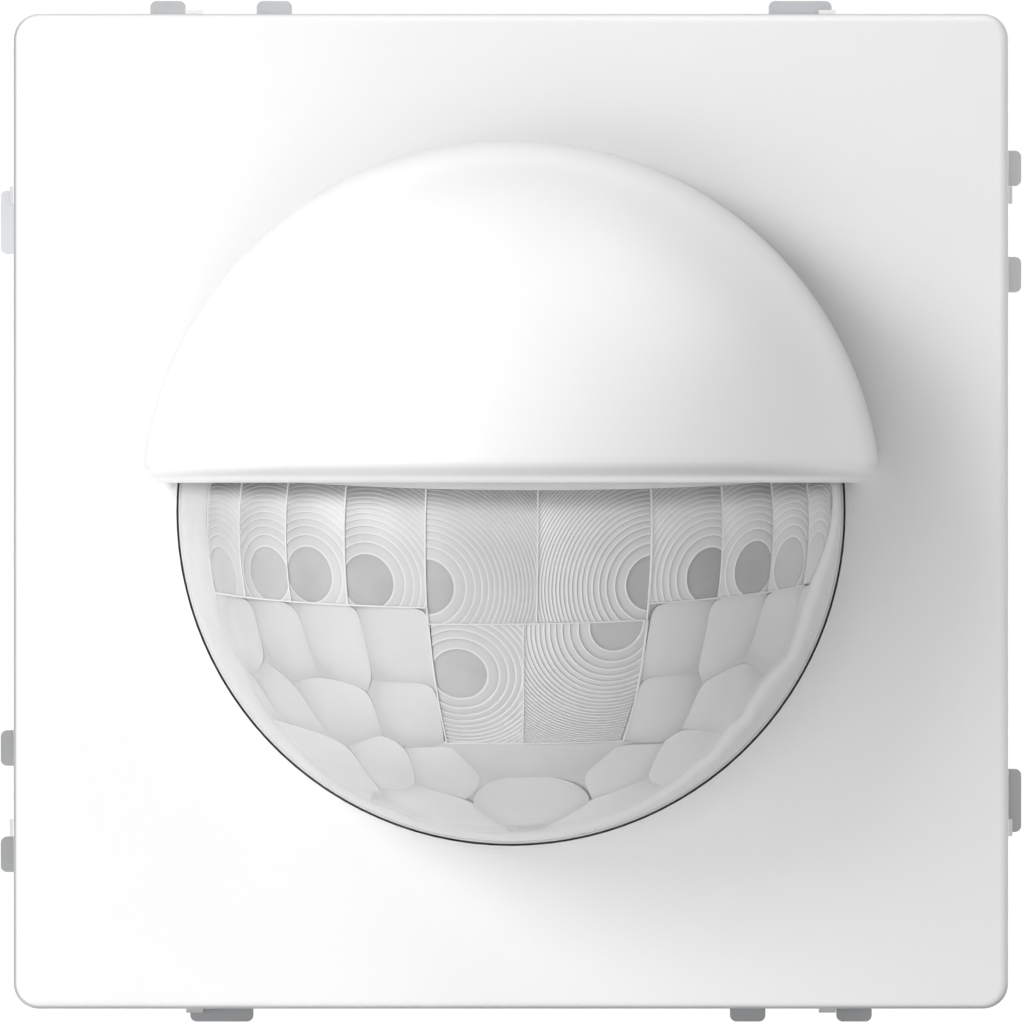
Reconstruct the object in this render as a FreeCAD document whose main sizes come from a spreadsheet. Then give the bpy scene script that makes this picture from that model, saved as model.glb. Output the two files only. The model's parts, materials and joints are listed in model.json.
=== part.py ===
import FreeCAD, Part
import Sketcher
import math
import os

# Wall-mounted presence detector for a 60 mm flush box.
# Lengths in mm. X to the viewer's right, Z up, the front looks along -Y.
# y = 0 is the wall: the rear face of the steel ring. The origin is the centre
# of the box screws. Depths named "f_" are distances in front of the wall, "b_"
# distances behind it.

os.makedirs("parts", exist_ok=True)
V = FreeCAD.Vector
doc = FreeCAD.newDocument("presence_detector")
sheet = doc.addObject("Spreadsheet::Sheet", "dims")

CELLS = [
    ("plate_w", 70.0, "cover, width and height"),
    ("plate_corner", 1.8, "cover, corner radius"),
    ("plate_edge", 0.6, "cover, rounding of the front edge"),
    ("plate_wall", 1.8, "cover, thickness of the face"),
    ("skirt_wall", 1.6, "cover, thickness of the sides"),
    ("f_skirt", 3.5, "cover, rear edge of the sides"),
    ("f_front", 11.5, "cover, front face"),
    ("hole_r", 23.55, "round opening in the cover"),
    ("bump_at", 22.3, "bumps on the cover's sides, from the centre"),
    ("bump_w", 1.2, "bumps, width"),
    ("bump_high", 0.35, "bumps, how proud they stand"),
    ("bump_deep", 2.2, "bumps, length along the depth"),
    ("ball_r", 23.2, "lens, outer radius"),
    ("f_ball", 13.5, "centre of the ball"),
    ("lens_wall", 0.7, "lens, wall"),
    ("lens_top", 4.5, "lens, height of its upper edge"),
    ("flange_r", 25.2, "lens and settings dome, radius of the rear flange"),
    ("f_flange", 8.6, "rear of that flange"),
    ("flange_t", 1.0, "thickness of that flange"),
    ("dome_r", 23.0, "settings dome, outer radius"),
    ("dome_wall", 1.4, "settings dome, wall"),
    ("dome_low", 4.7, "settings dome, height of its lower edge"),
    ("ledge_r", 22.1, "settings dome, radius of the ledge over the lens"),
    ("ledge_wall", 0.8, "settings dome, thickness of the ledge"),
    ("f_panel", 24.5, "settings dome, flat front panel"),
    ("panel_wall", 1.5, "settings dome, thickness of the panel"),
    ("hood_r", 26.1, "hood, outer radius"),
    ("hood_wall", 2.0, "hood, wall"),
    ("hood_low", 2.0, "hood, height of its lower edge"),
    ("hood_lip", 1.6, "hood, rounding of the lower outer edge"),
    ("peg_r", 0.8, "hood pegs, radius"),
    ("peg_at", 25.05, "hood pegs, distance from the axis"),
    ("peg_gap", 0.08, "hood pegs, clearance in their holes"),
    ("ring_w", 69.0, "steel ring, width and height"),
    ("ring_t", 1.2, "steel ring, thickness"),
    ("ring_open_w", 47.0, "steel ring, opening width"),
    ("ring_open_h", 49.0, "steel ring, opening height"),
    ("screw_pitch", 60.0, "box screws, distance"),
    ("slot_r", 2.1, "screw slots, half width"),
    ("slot_len", 6.4, "screw slots, end to end"),
    ("frame_w", 69.4, "grey frame, width and height"),
    ("f_frame", 1.25, "grey frame, rear face"),
    ("frame_t", 2.05, "grey frame, thickness"),
    ("frame_open_w", 44.6, "grey frame, opening width"),
    ("frame_open_h", 46.6, "grey frame, opening height"),
    ("collar_w", 65.8, "grey frame, outside of the raised collar"),
    ("collar_wall", 1.6, "grey frame, collar wall"),
    ("f_collar", 8.0, "grey frame, front of the collar"),
    ("tab_reach", 36.0, "tabs, distance of their ends from the centre"),
    ("tab_a_at", -24.2, "first small tab, clockwise from the middle"),
    ("tab_b_at", -16.7, "second small tab"),
    ("tab_small", 2.5, "small tabs, width"),
    ("tab_c_at", 20.4, "large tab"),
    ("tab_large", 4.45, "large tab, width"),
    ("tab_round", 0.45, "tabs, rounded ends"),
    ("notch_w", 7.8, "notches for the box screws' heads"),
    ("tub_w", 44.0, "tub, width"),
    ("tub_h", 46.0, "tub, height"),
    ("tub_wall", 1.5, "tub, wall"),
    ("b_tub", 22.0, "tub, back face behind the wall plane"),
    ("tub_flange_w", 56.0, "tub flange, width"),
    ("tub_flange_h", 54.0, "tub flange, height"),
    ("tub_flange_t", 1.5, "tub flange, thickness"),
    ("recess_w", 12.8, "terminal recess, width"),
    ("recess_h", 12.0, "terminal recess, height"),
    ("recess_z", -10.0, "terminal recess, height of its centre"),
    ("recess_deep", 6.6, "terminal recess, depth"),
    ("board_t", 1.6, "circuit boards, thickness"),
    ("b_board", 12.0, "main board, front face behind the wall plane"),
    ("term_w", 6.1, "bus terminal half, width"),
    ("term_h", 11.4, "bus terminal half, height"),
    ("term_l", 11.5, "bus terminal half, length"),
    ("term_pitch", 6.3, "bus terminal halves, distance"),
    ("pin_r", 0.5, "bus pins, radius"),
    ("pin_gap", 0.06, "bus pins, clearance in the terminal"),
    ("retainer_w", 52.0, "clamping ring, width"),
    ("retainer_r", 21.5, "clamping ring, opening radius"),
    ("f_retainer", 7.0, "clamping ring, rear face"),
    ("retainer_t", 1.5, "clamping ring, thickness"),
    ("retainer_screw", 20.5, "clamping ring screws, from the centre each way"),
    ("f_sensor_board", 4.8, "sensor board, rear face"),
    ("dial_pitch", 10.0, "dials, distance"),
    ("dial_z", 9.4, "dials, height"),
    ("dial_r", 3.0, "dials, radius"),
    ("shaft_r", 1.5, "dials, shaft radius"),
    ("shaft_gap", 0.05, "dials, running clearance"),
    ("button_x", -4.5, "program button and lamp, distance from the middle"),
    ("button_z", 15.6, "program button and lamp, height"),
    ("button_travel", 0.6, "program button, travel"),
]


class Dim:
    """A length together with the spreadsheet expression that it comes from."""

    def __init__(self, text, value):
        self.text = text
        self.value = value

    @staticmethod
    def of(x):
        return x if isinstance(x, Dim) else Dim(repr(float(x)), float(x))

    def _join(self, other, sign, swap=False):
        a, b = self, Dim.of(other)
        if swap:
            a, b = b, a
        if sign == "+":
            value = a.value + b.value
        elif sign == "-":
            value = a.value - b.value
        elif sign == "*":
            value = a.value * b.value
        else:
            value = a.value / b.value
        return Dim("(%s %s %s)" % (a.text, sign, b.text), value)

    def __add__(self, o):
        return self._join(o, "+")

    def __radd__(self, o):
        return self._join(o, "+", True)

    def __sub__(self, o):
        return self._join(o, "-")

    def __rsub__(self, o):
        return self._join(o, "-", True)

    def __mul__(self, o):
        return self._join(o, "*")

    def __rmul__(self, o):
        return self._join(o, "*", True)

    def __truediv__(self, o):
        return self._join(o, "/")

    def __neg__(self):
        return Dim("(0 - %s)" % self.text, -self.value)


def root(d):
    return Dim("sqrt(%s)" % d.text, math.sqrt(d.value))


D = {}
for row, (alias, value, note) in enumerate(CELLS, start=1):
    sheet.set("A%d" % row, note)
    sheet.set("B%d" % row, repr(value))
    sheet.setAlias("B%d" % row, alias)
    D[alias] = Dim("dims." + alias, value)
doc.recompute()


def bind(obj, prop, dim):
    """Gives a length property its value, and its expression if it has one."""
    if isinstance(dim, Dim):
        if "." not in prop:
            setattr(obj, prop, dim.value)
        obj.setExpression(prop, dim.text)
    else:
        setattr(obj, prop, float(dim))


def place(obj, x=None, y=None, z=None, axis=None, angle=0.0):
    """Puts a body in its place in the assembly."""
    xs = [Dim.of(v) if v is not None else Dim.of(0.0) for v in (x, y, z)]
    turn = FreeCAD.Rotation(axis, angle) if axis is not None else FreeCAD.Rotation()
    obj.Placement = FreeCAD.Placement(V(*[d.value for d in xs]), turn)
    for name, given, d in zip("xyz", (x, y, z), xs):
        if isinstance(given, Dim):
            obj.setExpression("Placement.Base." + name, d.text)


class Sketch:
    """A sketch on one of a body's own planes. On the XZ plane its first axis
    is X and its second Z, and it looks to the front; offset moves it forward."""

    def __init__(self, body, name, role="XZ_Plane", offset=0.0):
        self.sk = body.newObject("Sketcher::SketchObject", name)
        plane = [f for f in body.Origin.OriginFeatures if f.Role == role][0]
        self.sk.AttachmentSupport = [(plane, "")]
        self.sk.MapMode = "FlatFace"
        off = Dim.of(offset)
        self.sk.AttachmentOffset = FreeCAD.Placement(V(0, 0, off.value), FreeCAD.Rotation())
        if isinstance(offset, Dim):
            self.sk.setExpression("AttachmentOffset.Base.z", off.text)

    def fix(self, geo, pos, x, y):
        for kind, v in (("DistanceX", x), ("DistanceY", y)):
            if v is None:
                continue
            i = self.sk.addConstraint(Sketcher.Constraint(kind, -1, 1, geo, pos, Dim.of(v).value))
            if isinstance(v, Dim):
                self.sk.setExpression("Constraints[%d]" % i, v.text)

    def path(self, pts, arcs=None):
        """A closed outline. arcs maps a segment's index to (centre x, centre y,
        counter-clockwise, which coordinate of the centre is held)."""
        arcs = arcs or {}
        n = len(pts)
        xy = [(Dim.of(a).value, Dim.of(b).value) for a, b in pts]
        first = self.sk.GeometryCount
        ends = []
        for i in range(n):
            a, b = xy[i], xy[(i + 1) % n]
            if i in arcs:
                cx, cy, ccw, hold = arcs[i]
                c = (Dim.of(cx).value, Dim.of(cy).value)
                r = math.hypot(a[0] - c[0], a[1] - c[1])
                t0 = math.atan2(a[1] - c[1], a[0] - c[0])
                t1 = math.atan2(b[1] - c[1], b[0] - c[0])
                if not ccw:
                    t0, t1 = t1, t0
                if t1 <= t0:
                    t1 += 2 * math.pi
                circle = Part.Circle(V(c[0], c[1], 0), V(0, 0, 1), r)
                self.sk.addGeometry(Part.ArcOfCircle(circle, t0, t1), False)
                ends.append((1, 2) if ccw else (2, 1))
            else:
                self.sk.addGeometry(Part.LineSegment(V(a[0], a[1], 0), V(b[0], b[1], 0)), False)
                ends.append((1, 2))
        for i in range(n):
            j = (i + 1) % n
            self.sk.addConstraint(Sketcher.Constraint(
                "Coincident", first + i, ends[i][1], first + j, ends[j][0]))
        for i, (x, y) in enumerate(pts):
            self.fix(first + i, ends[i][0], x, y)
        for i, (cx, cy, ccw, hold) in arcs.items():
            if hold == "x":
                self.fix(first + i, 3, cx, None)
            else:
                self.fix(first + i, 3, None, cy)
        return self

    def rect(self, x0, y0, x1, y1):
        return self.path([(x0, y0), (x1, y0), (x1, y1), (x0, y1)])

    def block(self, cx, cy, w, h):
        cx, cy, w, h = [v if isinstance(v, Dim) else Dim.of(v) for v in (cx, cy, w, h)]
        return self.rect(cx - w / 2, cy - h / 2, cx + w / 2, cy + h / 2)

    def circle(self, x, y, r):
        i = self.sk.addGeometry(Part.Circle(
            V(Dim.of(x).value, Dim.of(y).value, 0), V(0, 0, 1), Dim.of(r).value), False)
        self.fix(i, 3, x, y)
        k = self.sk.addConstraint(Sketcher.Constraint("Radius", i, Dim.of(r).value))
        if isinstance(r, Dim):
            self.sk.setExpression("Constraints[%d]" % k, r.text)
        return self


def new_body(label, **where):
    body = doc.addObject("PartDesign::Body", label)
    body.Label = label
    place(body, **where)
    return body


def pad(body, sketch, length, name=None, back=False, both=False):
    f = body.newObject("PartDesign::Pad", name or sketch.sk.Name + "_pad")
    f.Profile = sketch.sk
    bind(f, "Length", length)
    f.Reversed = back
    f.Midplane = both
    sketch.sk.Visibility = False
    body.Tip = f
    doc.recompute()
    return f


def pocket(body, sketch, length, name=None, ahead=False, both=False):
    """Cuts behind the sketch, or in front of it with ahead."""
    before = body.Shape.Volume
    f = body.newObject("PartDesign::Pocket", name or sketch.sk.Name + "_cut")
    f.Profile = sketch.sk
    bind(f, "Length", length)
    f.Reversed = ahead
    f.Midplane = both
    sketch.sk.Visibility = False
    body.Tip = f
    doc.recompute()
    if not f.Shape.Volume < before - 1e-6:
        raise RuntimeError("%s removes nothing" % f.Name)
    return f


def revolve(body, sketch, axis="H_Axis", name=None):
    f = body.newObject("PartDesign::Revolution", name or sketch.sk.Name + "_turned")
    f.Profile = sketch.sk
    f.ReferenceAxis = (sketch.sk, [axis])
    f.Angle = 360.0
    sketch.sk.Visibility = False
    body.Tip = f
    doc.recompute()
    return f


def soften(body, size, pick, name, kind="Fillet"):
    """Rounds or chamfers the edges that pick chooses."""
    doc.recompute()
    tip = body.Tip
    names = ["Edge%d" % (i + 1) for i, e in enumerate(tip.Shape.Edges) if pick(e)]
    if not names:
        raise RuntimeError("%s finds no edge" % name)
    f = body.newObject("PartDesign::" + kind, name)
    f.Base = (tip, names)
    bind(f, "Radius" if kind == "Fillet" else "Size", size)
    body.Tip = f
    doc.recompute()
    return f


def span(e):
    b = e.BoundBox
    return b.XMin, b.XMax, b.YMin, b.YMax, b.ZMin, b.ZMax


def near(a, b, tol=1e-3):
    return abs(a - b) < tol


def along_y(e, x=None, z=None):
    """A straight edge along the depth, at +-x and +-z if they are given."""
    x0, x1, y0, y1, z0, z1 = span(e)
    if not (x1 - x0 < 1e-4 and z1 - z0 < 1e-4 and y1 - y0 > 1e-3):
        return False
    return (x is None or near(abs(x0), x)) and (z is None or near(abs(z0), z))


def at_depth(e, y):
    b = span(e)
    return near(b[2], y) and near(b[3], y)


half = D["plate_w"] / 2

# ---------------------------------------------------------------- steel ring
ring = new_body("mounting_ring")
pad(ring, Sketch(ring, "ring_plate").block(0, 0, D["ring_w"], D["ring_w"]), D["ring_t"])
pocket(ring, Sketch(ring, "ring_opening", offset=D["ring_t"]).block(
    0, 0, D["ring_open_w"], D["ring_open_h"]), D["ring_t"])
for tag, ux, uz in (("right", 1, 0), ("left", -1, 0), ("top", 0, 1), ("bottom", 0, -1)):
    c = D["screw_pitch"] / 2
    run = D["slot_len"] / 2 - D["slot_r"]
    if ux:
        cx, cz = c * ux, Dim.of(0.0)
        sk = Sketch(ring, "slot_" + tag, offset=D["ring_t"]).path(
            [(cx - run, cz - D["slot_r"]), (cx + run, cz - D["slot_r"]),
             (cx + run, cz + D["slot_r"]), (cx - run, cz + D["slot_r"])],
            {1: (cx + run, 0.0, True, "x"), 3: (cx - run, 0.0, True, "x")})
    else:
        cx, cz = Dim.of(0.0), c * uz
        sk = Sketch(ring, "slot_" + tag, offset=D["ring_t"]).path(
            [(cx - D["slot_r"], cz - run), (cx + D["slot_r"], cz - run),
             (cx + D["slot_r"], cz + run), (cx - D["slot_r"], cz + run)],
            {0: (0.0, cz - run, True, "y"), 2: (0.0, cz + run, True, "y")})
    pocket(ring, sk, D["ring_t"])
soften(ring, 4.0, lambda e: along_y(e, D["ring_w"].value / 2), "ring_corners")
soften(ring, 3.0, lambda e: along_y(e, D["ring_open_w"].value / 2), "ring_opening_corners")

# ---------------------------------------------------------------- grey frame
frame = new_body("base_frame")
pad(frame, Sketch(frame, "frame_plate", offset=D["f_frame"]).block(
    0, 0, D["frame_w"], D["frame_w"]), D["frame_t"])
soften(frame, 2.0, lambda e: along_y(e, D["frame_w"].value / 2), "frame_corners")
pocket(frame, Sketch(frame, "frame_opening", offset=D["f_frame"] + D["frame_t"]).block(
    0, 0, D["frame_open_w"], D["frame_open_h"]), D["frame_t"])
front_of_frame = D["f_frame"] + D["frame_t"]
collar_in = D["collar_w"] - 2 * D["collar_wall"]
pad(frame, Sketch(frame, "collar_outside", offset=front_of_frame).block(
    0, 0, D["collar_w"], D["collar_w"]).block(0, 0, collar_in, collar_in),
    D["f_collar"] - front_of_frame)
soften(frame, 1.0, lambda e: along_y(e, D["collar_w"].value / 2, D["collar_w"].value / 2),
       "collar_corners")
# notches for the heads of the box screws, open at the frame's edge
notch_in = D["screw_pitch"] / 2 - D["notch_w"] / 2
for tag, ux, uz in (("right", 1, 0), ("left", -1, 0), ("top", 0, 1), ("bottom", 0, -1)):
    a = notch_in * (ux or uz)
    b = Dim.of(36.0 * (ux or uz))
    lo, hi = (a, b) if (ux or uz) > 0 else (b, a)
    w = D["notch_w"] / 2
    sk = Sketch(frame, "head_notch_" + tag, offset=D["f_collar"])
    sk.rect(lo, -w, hi, w) if ux else sk.rect(-w, lo, w, hi)
    pocket(frame, sk, D["f_collar"] - D["f_frame"])
# comb of tabs: the same three on every side, clockwise seen from the front
sk = Sketch(frame, "tabs", offset=D["f_frame"])
root_at = D["frame_w"] / 2 - 0.6
for at, width in ((D["tab_a_at"], D["tab_small"]), (D["tab_b_at"], D["tab_small"]),
                  (D["tab_c_at"], D["tab_large"])):
    a, b = at - width / 2, at + width / 2
    sk.rect(a, root_at, b, D["tab_reach"])
    sk.rect(root_at, -b, D["tab_reach"], -a)
    sk.rect(-b, -D["tab_reach"], -a, -root_at)
    sk.rect(-D["tab_reach"], a, -root_at, b)
pad(frame, sk, D["frame_t"])
reach = D["tab_reach"].value
soften(frame, D["tab_round"],
       lambda e: along_y(e) and near(max(abs(span(e)[0]), abs(span(e)[4])), reach), "tab_ends")
# arms that reach through the steel ring
arm_in, arm_out = 23.4, 24.4
sk = Sketch(frame, "arms", offset=D["f_frame"] + 0.4)
for sx in (-1, 1):
    for sz in (-1, 1):
        sk.rect(min(8.0 * sx, 14.0 * sx), min(arm_in * sz, arm_out * sz),
                max(8.0 * sx, 14.0 * sx), max(arm_in * sz, arm_out * sz))
pad(frame, sk, 3.6, back=True)
# pilot holes for the tub's screws
sk = Sketch(frame, "tub_pilots", offset=front_of_frame)
for sx in (-1, 1):
    for sz in (-1, 1):
        sk.circle(25.5 * sx, 18.0 * sz, 0.9)
pocket(frame, sk, D["frame_t"])

# --------------------------------------------------------------- front cover
cover = new_body("front_cover")
pad(cover, Sketch(cover, "cover_block", offset=D["f_skirt"]).block(
    0, 0, D["plate_w"], D["plate_w"]), D["f_front"] - D["f_skirt"])
soften(cover, D["plate_corner"], lambda e: along_y(e, D["plate_w"].value / 2), "cover_corners")
soften(cover, D["plate_edge"], lambda e: at_depth(e, -D["f_front"].value), "cover_front_edge")
inside = D["plate_w"] - 2 * D["skirt_wall"]
pocket(cover, Sketch(cover, "cover_inside", offset=D["f_skirt"]).block(0, 0, inside, inside),
       D["f_front"] - D["plate_wall"] - D["f_skirt"], ahead=True)
pocket(cover, Sketch(cover, "cover_opening", offset=D["f_front"]).circle(0, 0, D["hole_r"]),
       D["plate_wall"])
f_inner = D["f_front"] - D["plate_wall"]
f_boss = D["f_retainer"] + D["retainer_t"]
rs = D["retainer_screw"]
sk = Sketch(cover, "bosses", offset=f_boss)
for sx in (-1, 1):
    for sz in (-1, 1):
        sk.circle(rs * sx, rs * sz, 2.5)
pad(cover, sk, f_inner - f_boss + 0.2)
sk = Sketch(cover, "boss_pilots", offset=f_boss)
for sx in (-1, 1):
    for sz in (-1, 1):
        sk.circle(rs * sx, rs * sz, 0.9)
pocket(cover, sk, 2.2, ahead=True)
sk = Sketch(cover, "side_bumps", offset=D["f_skirt"])
bx = D["bump_at"]
bw = D["bump_w"] / 2
ri, ro = half - 0.5, half + D["bump_high"]
for s in (-1, 1):
    a, b = bx * s - bw, bx * s + bw
    sk.rect(a, ri, b, ro)
    sk.rect(a, -ro, b, -ri)
    sk.rect(ri, a, ro, b)
    sk.rect(-ro, a, -ri, b)
pad(cover, sk, D["bump_deep"])
outer = half.value + D["bump_high"].value
soften(cover, 0.25, lambda e: at_depth(e, -(D["f_skirt"].value + D["bump_deep"].value))
       and (near(max(abs(span(e)[0]), abs(span(e)[1])), outer)
            or near(max(abs(span(e)[4]), abs(span(e)[5])), outer))
       and e.Length > 1.0, "bump_ends", kind="Chamfer")
# holes for the hood's pegs
PEGS = [(math.cos(math.radians(a)), math.sin(math.radians(a))) for a in (25, 90, 155)]
sk = Sketch(cover, "peg_holes", offset=D["f_front"])
for c, s in PEGS:
    sk.circle(D["peg_at"] * c, D["peg_at"] * s, D["peg_r"] + D["peg_gap"])
pocket(cover, sk, D["plate_wall"])

# ---------------------------------------------------------------------- hood
hood = new_body("hood")
yb = -D["f_ball"]
yf = -D["f_front"]
hin = D["hood_r"] - D["hood_wall"]
sk = Sketch(hood, "hood_profile", role="YZ_Plane").path(
    [(yb - D["hood_r"], 0.0), (yb - hin, 0.0), (yb, hin), (yf, hin), (yf, D["hood_r"]),
     (yb, D["hood_r"])],
    {1: (yb, 0.0, False, "y"), 5: (yb, 0.0, True, "y")})
revolve(hood, sk)
pocket(hood, Sketch(hood, "hood_lower", role="YZ_Plane").rect(-60.0, -60.0, 10.0, D["hood_low"]),
       120.0, both=True)
low = D["hood_low"].value


def hood_edge(e, r):
    """The lower edge that lies on the outer or inner ball."""
    b = span(e)
    if not (near(b[4], low) and near(b[5], low)):
        return False
    y0 = -D["f_ball"].value
    for v in e.Vertexes:
        p = v.Point
        d = V(p.x, min(p.y - y0, 0.0), p.z).Length
        if not near(d, r, 0.01):
            return False
    return True


soften(hood, D["hood_lip"], lambda e: hood_edge(e, D["hood_r"].value), "hood_outer_lip")
sk = Sketch(hood, "pegs", offset=D["f_front"] - 1.6)
for c, s in PEGS:
    sk.circle(D["peg_at"] * c, D["peg_at"] * s, D["peg_r"])
pad(hood, sk, 2.0)

# ---------------------------------------------------------------------- lens
lens = new_body("lens")
lin = D["ball_r"] - D["lens_wall"]
yr = -D["f_flange"]
yt = -(D["f_flange"] + D["flange_t"])
sk = Sketch(lens, "lens_profile", role="YZ_Plane").path(
    [(yb - D["ball_r"], 0.0), (yb - lin, 0.0), (yb, lin), (yr, lin), (yr, D["flange_r"]),
     (yt, D["flange_r"]), (yt, D["ball_r"]), (yb, D["ball_r"])],
    {1: (yb, 0.0, False, "y"), 7: (yb, 0.0, True, "y")})
revolve(lens, sk)
pocket(lens, Sketch(lens, "lens_upper", role="YZ_Plane").rect(-60.0, D["lens_top"], 10.0, 60.0),
       120.0, both=True)

# -------------------------------------------------------------- settings dome
dome = new_body("settings_dome")
din = D["dome_r"] - D["dome_wall"]
yp = -D["f_panel"]
yq = -(D["f_panel"] - D["panel_wall"])
lift_o = D["f_panel"] - D["f_ball"]
lift_i = lift_o - D["panel_wall"]
rp = root(D["dome_r"] * D["dome_r"] - lift_o * lift_o)
rq = root(din * din - lift_i * lift_i)
sk = Sketch(dome, "dome_profile", role="YZ_Plane").path(
    [(yp, 0.0), (yq, 0.0), (yq, rq), (yb, din), (yr, din), (yr, D["flange_r"]),
     (yt, D["flange_r"]), (yt, D["dome_r"]), (yb, D["dome_r"]), (yp, rp)],
    {2: (yb, 0.0, False, "y"), 8: (yb, 0.0, True, "y")})
revolve(dome, sk)
pocket(dome, Sketch(dome, "dome_lower", role="YZ_Plane").rect(-60.0, -60.0, 10.0, D["dome_low"]),
       120.0, both=True)
# ledge below the panel, which closes the lens from above
y_ledge = -(D["f_panel"] - 0.4)
lift_l = D["f_panel"] - 0.4 - D["f_ball"]
x_ledge = root(D["ledge_r"] * D["ledge_r"] - lift_l * lift_l)
sk = Sketch(dome, "dome_ledge", role="XY_Plane", offset=D["dome_low"]).path(
    [(-x_ledge, y_ledge), (x_ledge, y_ledge)], {1: (0.0, yb, False, "y")})
pad(dome, sk, D["ledge_wall"])
f_panel_in = D["f_panel"] - D["panel_wall"]
POSTS = ((-11.3, 14.9), (11.3, 14.9))
f_sb = Dim.of(18.4)          # front of the settings board
sk = Sketch(dome, "dome_posts", offset=f_sb)
for x, z in POSTS:
    sk.circle(x, z, 1.6)
pad(dome, sk, f_panel_in - f_sb + 0.3)
sk = Sketch(dome, "dome_post_pilots", offset=f_sb)
for x, z in POSTS:
    sk.circle(x, z, 0.75)
pocket(dome, sk, 3.6, ahead=True)
sk = Sketch(dome, "dial_holes", offset=D["f_panel"])
for k in (-1, 0, 1):
    sk.circle(D["dial_pitch"] * k, D["dial_z"], D["shaft_r"] + D["shaft_gap"])
pocket(dome, sk, D["panel_wall"])
sk = Sketch(dome, "button_hole", offset=D["f_panel"]).circle(D["button_x"], D["button_z"], 1.7)
sk.circle(-D["button_x"], D["button_z"], 1.6)
pocket(dome, sk, D["panel_wall"])
# shallow scale rings round the dials
sk = Sketch(dome, "dial_scales", offset=D["f_panel"])
for k in (-1, 0, 1):
    sk.circle(D["dial_pitch"] * k, D["dial_z"], 4.1)
    sk.circle(D["dial_pitch"] * k, D["dial_z"], 3.8)
pocket(dome, sk, 0.25)

# ------------------------------------------------------------- clamping ring
ret = new_body("lens_retainer")
pad(ret, Sketch(ret, "retainer_plate", offset=D["f_retainer"]).block(
    0, 0, D["retainer_w"], D["retainer_w"]), D["retainer_t"])
soften(ret, 5.0, lambda e: along_y(e, D["retainer_w"].value / 2), "retainer_corners")
pocket(ret, Sketch(ret, "retainer_opening", offset=D["f_retainer"] + D["retainer_t"]).circle(
    0, 0, D["retainer_r"]), D["retainer_t"])
sk = Sketch(ret, "retainer_holes", offset=D["f_retainer"] + D["retainer_t"])
for sx in (-1, 1):
    for sz in (-1, 1):
        sk.circle(rs * sx, rs * sz, 1.15)
pocket(ret, sk, D["retainer_t"])
f_board = D["f_sensor_board"] + D["board_t"]
sk = Sketch(ret, "retainer_ribs", offset=f_board)
for s in (-1, 1):
    sk.rect(min(22.1 * s, 23.7 * s), -4.0, max(22.1 * s, 23.7 * s), 4.0)
    sk.rect(-4.0, min(22.1 * s, 23.7 * s), 4.0, max(22.1 * s, 23.7 * s))
pad(ret, sk, D["f_retainer"] - f_board + 0.2)


def screw_set(label, spots, f_seat, head_r, head_t, shank_r, length, forward):
    """Pan-head screws as one piece group. f_seat is where the head rests, and
    forward says whether the shank points to the front."""
    b = new_body(label)
    sk = Sketch(b, label + "_heads", offset=f_seat)
    for x, z in spots:
        sk.circle(x, z, head_r)
    heads = pad(b, sk, head_t, back=forward)
    rim = -(Dim.of(f_seat).value + (-head_t if forward else head_t))
    soften(b, 0.35, lambda e: at_depth(e, rim), label + "_rims")
    sk = Sketch(b, label + "_shanks", offset=f_seat)
    for x, z in spots:
        sk.circle(x, z, shank_r)
    pad(b, sk, length, back=not forward)
    top = Dim.of(f_seat) + (-head_t if forward else head_t)
    sk = Sketch(b, label + "_drive_a", offset=top)
    for x, z in spots:
        sk.block(x, z, head_r * 1.2, 0.45)
    pocket(b, sk, 0.6, ahead=forward)
    sk = Sketch(b, label + "_drive_b", offset=top)
    for x, z in spots:
        sk.block(x, z, 0.45, head_r * 1.2)
    pocket(b, sk, 0.6, ahead=forward)
    return b


CORNERS = [(sx, sz) for sx in (-1, 1) for sz in (-1, 1)]
screw_set("retainer_screws", [(rs * sx, rs * sz) for sx, sz in CORNERS],
          D["f_retainer"], 1.8, 1.3, 0.85, 3.4, True)

# ---------------------------------------------------------------------- tub
tub = new_body("rear_housing")
pad(tub, Sketch(tub, "tub_block", offset=-D["b_tub"]).block(0, 0, D["tub_w"], D["tub_h"]),
    D["b_tub"] + front_of_frame)
soften(tub, 2.5, lambda e: along_y(e, D["tub_w"].value / 2), "tub_corners")
soften(tub, 0.8, lambda e: at_depth(e, D["b_tub"].value), "tub_back_edge")
pad(tub, Sketch(tub, "tub_flange", offset=front_of_frame).block(
    0, 0, D["tub_flange_w"], D["tub_flange_h"]), D["tub_flange_t"])
soften(tub, 2.0, lambda e: along_y(e, D["tub_flange_w"].value / 2), "tub_flange_corners")
f_mouth = front_of_frame + D["tub_flange_t"]
pocket(tub, Sketch(tub, "tub_inside", offset=f_mouth).block(
    0, 0, D["tub_w"] - 2 * D["tub_wall"], D["tub_h"] - 2 * D["tub_wall"]),
    f_mouth + D["b_tub"] - D["tub_wall"])
b_inner = D["b_tub"] - D["tub_wall"]
pad(tub, Sketch(tub, "recess_box", offset=-b_inner - 0.2).block(
    0, D["recess_z"], D["recess_w"] + 2.4, D["recess_h"] + 2.4), 6.3)
pocket(tub, Sketch(tub, "recess", offset=-D["b_tub"]).block(
    0, D["recess_z"], D["recess_w"], D["recess_h"]), D["recess_deep"], ahead=True)
b_board_back = D["b_board"] + D["board_t"]
BOARD_POSTS = [(17.3 * sx, 18.3 * sz) for sx, sz in CORNERS]
sk = Sketch(tub, "board_posts", offset=-b_inner - 0.2)
for x, z in BOARD_POSTS:
    sk.circle(x, z, 2.3)
pad(tub, sk, b_inner + 0.2 - b_board_back)
sk = Sketch(tub, "board_post_pilots", offset=-b_board_back)
for x, z in BOARD_POSTS:
    sk.circle(x, z, 0.9)
pocket(tub, sk, 5.0)
sk = Sketch(tub, "pin_holes", offset=-(D["b_tub"] - D["recess_deep"] - 1.5))
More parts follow.
